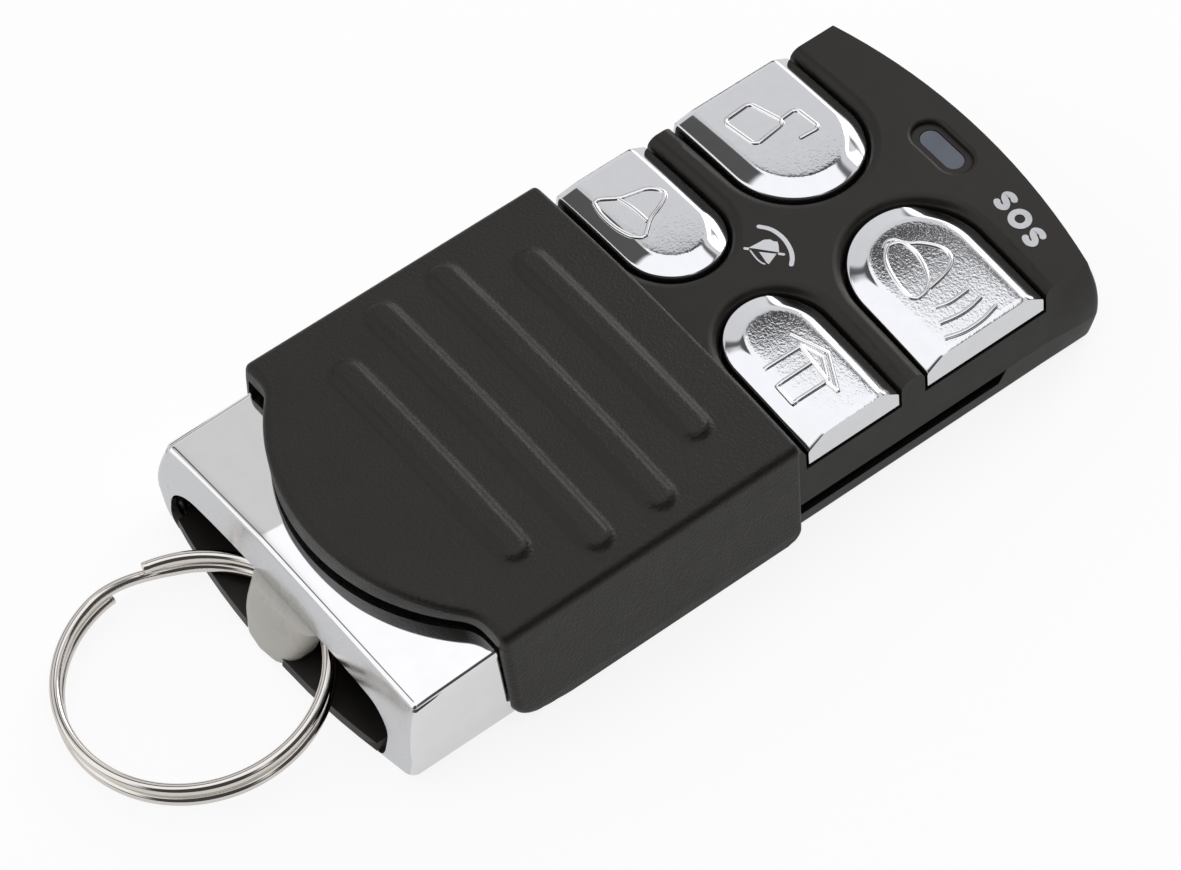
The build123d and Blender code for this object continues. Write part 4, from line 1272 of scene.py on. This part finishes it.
@dataclass
class Prints:
    """The white prints on the deck: the word SOS and a muted bell under an arc."""

    deck: Deck
    surface: Surface = field(default_factory=Surface)
    film: float = 0.02
    spacing: float = 0.08
    patch_spacing: float = 0.1
    rings: tuple = ((0.01, -1), (1.0, -1), (1.0, 1), (0.75, 1), (0.5, 1), (0.25, 1), (0.01, 1))
    thinnest: float = 0.001
    letter_height: float = 1.78
    letter_width: float = 1.62
    letter_pitch: float = 1.82
    letter_stroke: float = 0.25
    word_middle: tuple = (8.35, 28.72)
    word_turn: float = -7.0
    round_share: float = 1.12
    narrow_share: float = 0.92
    sharp_angle: float = 60.0

    def stroke(self, points: Points, half: float, closed: bool = False) -> None:
        """Adds a printed line with round ends that follows the deck.

        Args:
            points: the line's points as (x, y).
            half: half its width.
            closed: whether it returns to its start.
        """
        flat = divided(np.asarray(points, float), self.spacing)
        width = np.full(len(flat), half)
        if not closed:
            run = run_along(flat)
            end = np.minimum(run, run[-1] - run)
            width = np.sqrt(np.maximum(half**2 - np.clip(half - end, 0.0, half) ** 2, self.thinnest**2))
        along = unit(np.gradient(flat, axis=0))
        side = stacked(-along[:, 1], along[:, 0]) * width[:, None]
        z = self.deck.height(flat[:, 0])
        edges = [np.column_stack([flat + side * reach, z + lift * self.film])
                 for reach, lift in ((-1.0, -1.0), (-1.0, 1.0), (1.0, 1.0), (1.0, -1.0))]
        self.surface.grid(np.stack(edges, axis=1), around=True)

    def patch(self, outline: Points) -> None:
        """Adds a filled printed shape that follows the deck, from rings about its middle.

        Args:
            outline: the shape's corners as (x, y).
        """
        rim = divided(np.array([*outline, outline[0]], float), self.patch_spacing)[:-1]
        middle = rim.mean(axis=0)
        rings = []
        for share, lift in self.rings:
            flat = blend(middle, rim, share)
            rings.append(np.column_stack([flat, self.deck.height(flat[:, 0]) + lift * self.film]))
        self.surface.grid(np.stack(rings), around=True)

    def build(self) -> None:
        """Makes the word, from S as a cubic line and O as an oval, and the bell, as one film."""
        high, wide = self.letter_height / 2 - self.letter_stroke, self.letter_width / 2 - self.letter_stroke
        turn = math.radians(self.word_turn)
        turning = np.array([[math.cos(turn), math.sin(turn)], [-math.sin(turn), math.cos(turn)]])
        for place, shape in enumerate((LETTER_S, LETTER_O, LETTER_S), -1):
            share = self.round_share if place == 0 else self.narrow_share
            upright = shape * (wide * share, high) + (place * self.letter_pitch, 0.0)
            self.stroke(upright @ turning + self.word_middle, self.letter_stroke, closed=place == 0)
        for outline in BELL_PATCHES:
            self.patch(outline)
        for points, half in BELL_STROKES:
            self.stroke(points, half)
        deliver(self.surface.build("deck_prints", self.sharp_angle, Finish.PRINT), "housing")


@dataclass
class SplitRing:
    """The split ring: two turns of round wire and the jog that joins them."""

    centre: tuple = (-0.5, -38.1)
    wire: float = 0.43
    turn: float = 9.43
    pitch: float = 1.28
    lean_back: float = 0.09
    lean_side: float = 0.05
    low_end: float = 182.0
    high_end: float = 165.0
    jog_start: float = 150.0
    jog_span: float = 44.0
    floor_gap: float = 0.03
    steps: int = 354
    sides: int = 20
    end_reach: float = 0.15
    end_width: float = 0.82
    sharp_angle: float = 60.0

    def line(self) -> Array:
        """The wire's centre line: a circle whose height climbs by one pitch in a smooth step at the jog.

        Returns:
            The line's points, one row each.
        """
        axis = unit(np.array([-self.lean_side, -self.lean_back, 1.0]))
        tilt = math.acos(axis[2])
        middle_z = self.floor_gap + self.wire + self.pitch / 2 * math.cos(tilt) + self.turn * math.sin(tilt)
        angle = np.linspace(self.low_end, self.high_end + 720.0, self.steps)
        jog = self.jog_start + 360.0
        level = self.pitch * (ease(angle, jog, jog + self.jog_span) - 0.5)
        across = unit(np.cross((0.0, 1.0, 0.0), axis))
        back = np.cross(axis, across)
        angle = np.radians(angle)[:, None]
        flat = self.turn * (np.cos(angle) * across + np.sin(angle) * back)
        return np.array([*self.centre, middle_z]) + flat + level[:, None] * axis

    def build(self) -> None:
        """Makes the wire as one closed tube with softly rounded ends."""
        path = self.line()
        body = tube(path, self.wire, self.wire, self.sides)
        ends = []
        for row, inner in ((0, 1), (-1, -2)):
            cap = path[row] + unit(path[row] - path[inner]) * self.wire * self.end_reach
            rim = cap + (body[row] - path[row]) * self.end_width
            ends.append(np.stack([np.broadcast_to(cap, rim.shape), rim]))
        surface = Surface()
        surface.grid(np.concatenate([ends[0], body, ends[1][::-1]]), around=True)
        piece = surface.build("split_ring_wire", self.sharp_angle, Finish.RING)
        deliver(piece, "ring", "ring_nickel", "split_ring")


def heading(azimuth: float, elevation: float) -> tuple[float, float, float]:
    """The unit direction at an azimuth from +X and a height over the horizon, in degrees."""
    turn, rise = math.radians(azimuth), math.radians(elevation)
    return (math.cos(turn) * math.cos(rise), math.sin(turn) * math.cos(rise), math.sin(rise))


@dataclass
class Studio:
    """The camera at the photograph's view, the pale floor and the soft lights.

    A stop of the room is a share of the way from the horizon to the softbox, and a level. A patch is an
    azimuth, an elevation, a radius and a soft edge in degrees, and a level.
    """

    view: tuple = (321.63, 54.25)
    distance: float = 360.57
    target: tuple = (1.27, -5.23, 4.0)
    focal_pixels: float = 5125.31
    middle_pixels: tuple = (585.36, 434.05)
    sensor: float = 36.0
    clip: tuple = (0.01, 20.0)
    floor_side: float = 6000.0
    floor_grey: float = 0.88
    floor_roughness: float = 0.9
    floor_glow: float = 0.8
    floor_levels: tuple = (0.75, 1.08)
    lamp_place: tuple = (-180.0, 480.0, 330.0)
    lamp_size: float = 220.0
    lamp_power: float = 0.5
    room_strength: float = 1.15
    room_blue: float = 1.03
    softbox: tuple = (230.0, 84.0)
    room: tuple = ((0.0, 0.03), (0.24, 0.04), (0.34, 0.66), (0.5, 0.62), (0.62, 0.60), (0.765, 0.59),
                   (0.79, 0.13), (0.813, 0.13), (0.828, 0.92), (1.0, 0.92))
    patches: tuple = ((117.0, 3.0, 18.0, 7.0, 1.5), (35.0, 35.0, 20.0, 6.0, 0.06),
                      (242.0, 28.0, 22.0, 8.0, 0.90), (158.3, 50.4, 5.0, 1.5, 0.55),
                      (180.0, 57.0, 7.0, 4.0, 0.08), (135.2, 54.0, 1.8, 2.0, 0.05),
                      (318.0, 34.0, 28.0, 10.0, 0.05))

    def camera(self) -> None:
        """Makes the camera from the fitted angles, distance and focal length."""
        data = bpy.data.cameras.new("camera")
        data.sensor_fit = "HORIZONTAL"
        data.sensor_width = self.sensor
        data.lens = self.focal_pixels / PHOTO_WIDTH * self.sensor
        data.shift_x = (PHOTO_WIDTH / 2 - self.middle_pixels[0]) / PHOTO_WIDTH
        data.shift_y = (self.middle_pixels[1] - PHOTO_HEIGHT / 2) / PHOTO_WIDTH
        data.clip_start, data.clip_end = self.clip
        target = Vector(self.target)
        place = target + Vector(heading(*self.view)) * self.distance
        bpy.context.scene.camera = aimed("camera", data, place, target)

    def lamp(self) -> None:
        """Makes the square soft lamp that points at the fob."""
        data = bpy.data.lights.new("key_lamp", "AREA")
        data.energy = self.lamp_power
        data.size = self.lamp_size * MILLIMETRE
        aimed("key_lamp", data, Vector(self.lamp_place), Vector(self.target))

    def floor(self) -> None:
        """Makes the floor: white where the camera or a mirror sees it, with the object's shadow kept."""
        half = self.floor_side / 2 * MILLIMETRE
        mesh = bpy.data.meshes.new("floor")
        corners = [(-half, -half, 0), (half, -half, 0), (half, half, 0), (-half, half, 0)]
        mesh.from_pydata(corners, [], [(0, 1, 2, 3)])
        bench = Bench("floor_white")
        bench.set(Base_Color=shade([self.floor_grey] * 3), Roughness=self.floor_roughness,
                  Specular_IOR_Level=0.0)
        seen = bench.add("LightPath", {}, "Is Camera Ray")
        mirrored = seen.node.outputs["Is Glossy Ray"]
        share = bench.add("Math", {0: seen, 1: mirrored}, operation="MAXIMUM")
        share = bench.add("Math", {0: share, 1: self.floor_glow}, operation="MULTIPLY")
        strength = bench.ranged(seen, *self.floor_levels, 0.0, 1.0)
        glow = bench.add("Emission", {"Color": WHITE, "Strength": strength})
        mix = bench.add("MixShader", {0: share, 1: bench.shader.outputs[0], 2: glow})
        bench.wire(bench.tree.nodes["Material Output"], {"Surface": mix})
        mesh.materials.append(bench.material)
        floor = placed("floor", mesh)

    def world(self) -> None:
        """Makes the surroundings: white for the camera; else a room with round soft-edged patches.

        The room's level follows the cosine of the angle to the softbox, which is a dot product.
        """
        world = bpy.data.worlds.new("room")
        bpy.context.scene.world = world
        world.use_nodes = True
        wiring = Wiring(world.node_tree)
        direction = wiring.add("TexCoord", {}, "Generated")

        def towards(way: tuple[float, float, float]) -> Socket:
            """The cosine of the angle between the direction looked in and a way."""
            return wiring.add("VectorMath", {0: direction, 1: way}, "Value", operation="DOT_PRODUCT")

        level = wiring.add("ValToRGB", {0: towards(heading(*self.softbox))})
        stops = level.node.color_ramp.elements
        stops[0].position, stops[1].position = self.room[0][0], self.room[-1][0]
        for position, _ in self.room[1:-1]:
            stops.new(position)
        for stop, (_, grey) in zip(stops, self.room):
            stop.color = (grey, grey, min(1.0, grey * self.room_blue), 1.0)
        for azimuth, elevation, radius, soft, card in self.patches:
            edges = (math.cos(math.radians(radius + soft)), math.cos(math.radians(radius)))
            inside = wiring.ranged(towards(heading(azimuth, elevation)), 0.0, 1.0, *edges,
                                   interpolation_type="SMOOTHSTEP")
            level = wiring.mixed(inside, level, (card, card, card, 1.0))
        seen = wiring.add("LightPath", {}, "Is Camera Ray")
        wiring.wire(wiring.tree.nodes["Background"],
                    {"Color": wiring.mixed(seen, level, WHITE), "Strength": self.room_strength})

    def build(self) -> None:
        """Sets up the whole studio."""
        self.camera()
        self.floor()
        self.world()
        self.lamp()
        bpy.context.scene.view_settings.view_transform = "Standard"


PLAIN_NODES = {
    "lamp_window": Finish.WINDOW,
    "status_lamp": Finish.LAMP,
    "circuit_board": Finish.BOARD,
    "coin_cell": Finish.STEEL,
    "positive_contact": Finish.SPRING,
    "negative_contact": Finish.SPRING,
    "controller_chip": Finish.RESIN,
    "radio_chip": Finish.RESIN,
    "timing_crystal": Finish.STEEL,
    "chip_capacitors": Finish.RESIN,
    "antenna_loop": Finish.COPPER,
    "case_screws": Finish.SCREW,
}

PADLOCK = (
    rounded_path([(-10.0, 17.85), (-11.62, 17.67), (-11.78, 20.24), (-8.70, 21.07), (-8.32, 18.04),
                  (-10.0, 17.85)], [0.5, 0.5, 0.45, 0.5]),
    rounded_path([(-9.08, 20.98), (-9.2, 22.5), (-6.7, 22.7), (-6.81, 20.90)], [0.45, 0.35]),
)
ARM_BELL = (
    smooth_line([(-11.5, 5.7), (-11.55, 6.2), (-10.77, 7.33), (-10.46, 8.36), (-10.15, 9.40), (-9.5, 10.05),
                 (-8.90, 10.08), (-8.37, 9.33), (-7.90, 8.14), (-7.64, 7.70), (-6.79, 6.61)]),
    smooth_line([(-11.5, 5.7), (-10.43, 5.46), (-8.88, 5.46), (-7.58, 5.74), (-6.9, 6.2), (-6.79, 6.61)]),
    smooth_line([(-10.67, 7.28), (-9.20, 7.51), (-7.76, 7.55)]),
)
HOUSE = (
    np.array([(6.37, 9.02), (9.17, 10.16), (12.06, 8.64)]),
    np.array([(7.37, 9.01), (9.2, 9.6), (10.96, 8.65), (7.37, 9.01)]),
    np.array([(7.60, 8.85), (7.53, 5.71)]),
    np.array([(9.10, 8.67), (9.12, 5.57), (10.91, 5.53), (10.94, 8.49), (12.06, 8.64)]),
)
SOS_BELL = (
    smooth_line([(4.67, 19.01), (4.36, 19.58), (4.5, 20.1), (5.27, 20.64), (5.86, 21.44), (6.73, 22.19),
                 (7.5, 22.5), (8.1, 22.4), (8.55, 22.03), (8.98, 21.00), (9.25, 19.4)]),
    smooth_line([(5.01, 19.00), (5.87, 18.36), (7.35, 17.94), (8.71, 17.80), (9.35, 18.18), (9.25, 19.19),
                 (8.49, 19.94), (7.22, 20.50), (5.94, 20.67), (4.98, 20.33), (4.72, 19.6)], closed=True),
    smooth_line([(10.72, 18.68), (11.02, 19.91), (10.95, 21.55)]),
    smooth_line([(11.95, 18.04), (12.2, 19.5), (12.2, 20.7), (11.99, 21.86)]),
    smooth_line([(13.1, 17.51), (13.5, 19.1), (13.5, 20.7), (13.18, 22.22)]),
)


def main() -> None:
    """Builds every piece in order and reports it."""
    logging.basicConfig(level=logging.INFO, format="%(name)s: %(message)s")
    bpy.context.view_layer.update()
    deck = Deck()
    reliefs = [
        Relief(Key("disarm", -1, 20.55, 5.4, 1.8, deck), PADLOCK),
        Relief(Key("sos", 1, 20.55, 5.4, 1.8, deck, outer_drop=0.95), SOS_BELL),
        Relief(Key("arm", -1, 8.4, 4.1, 2.0, deck), ARM_BELL),
        Relief(Key("home", 1, 8.4, 4.1, 2.0, deck, outer_drop=0.95), HOUSE),
    ]
    Studio().build()
    for node, finish in PLAIN_NODES.items():
        dress(node, finish)
    for relief in reliefs:
        relief.key.build()
        dress(relief.key.name + "_switch", Finish.RESIN)
        dress(relief.key.name + "_plunger", Finish.PLUNGER)
    parts = [Prints(deck), EndCap(deck), RingPost(), BowedShell("upper_housing", deck),
             BowedShell("lower_housing", deck), SlideCover(deck), SplitRing()]
    for part in (*reliefs, *parts):
        part.build()


if __name__ == "__main__":
    main()
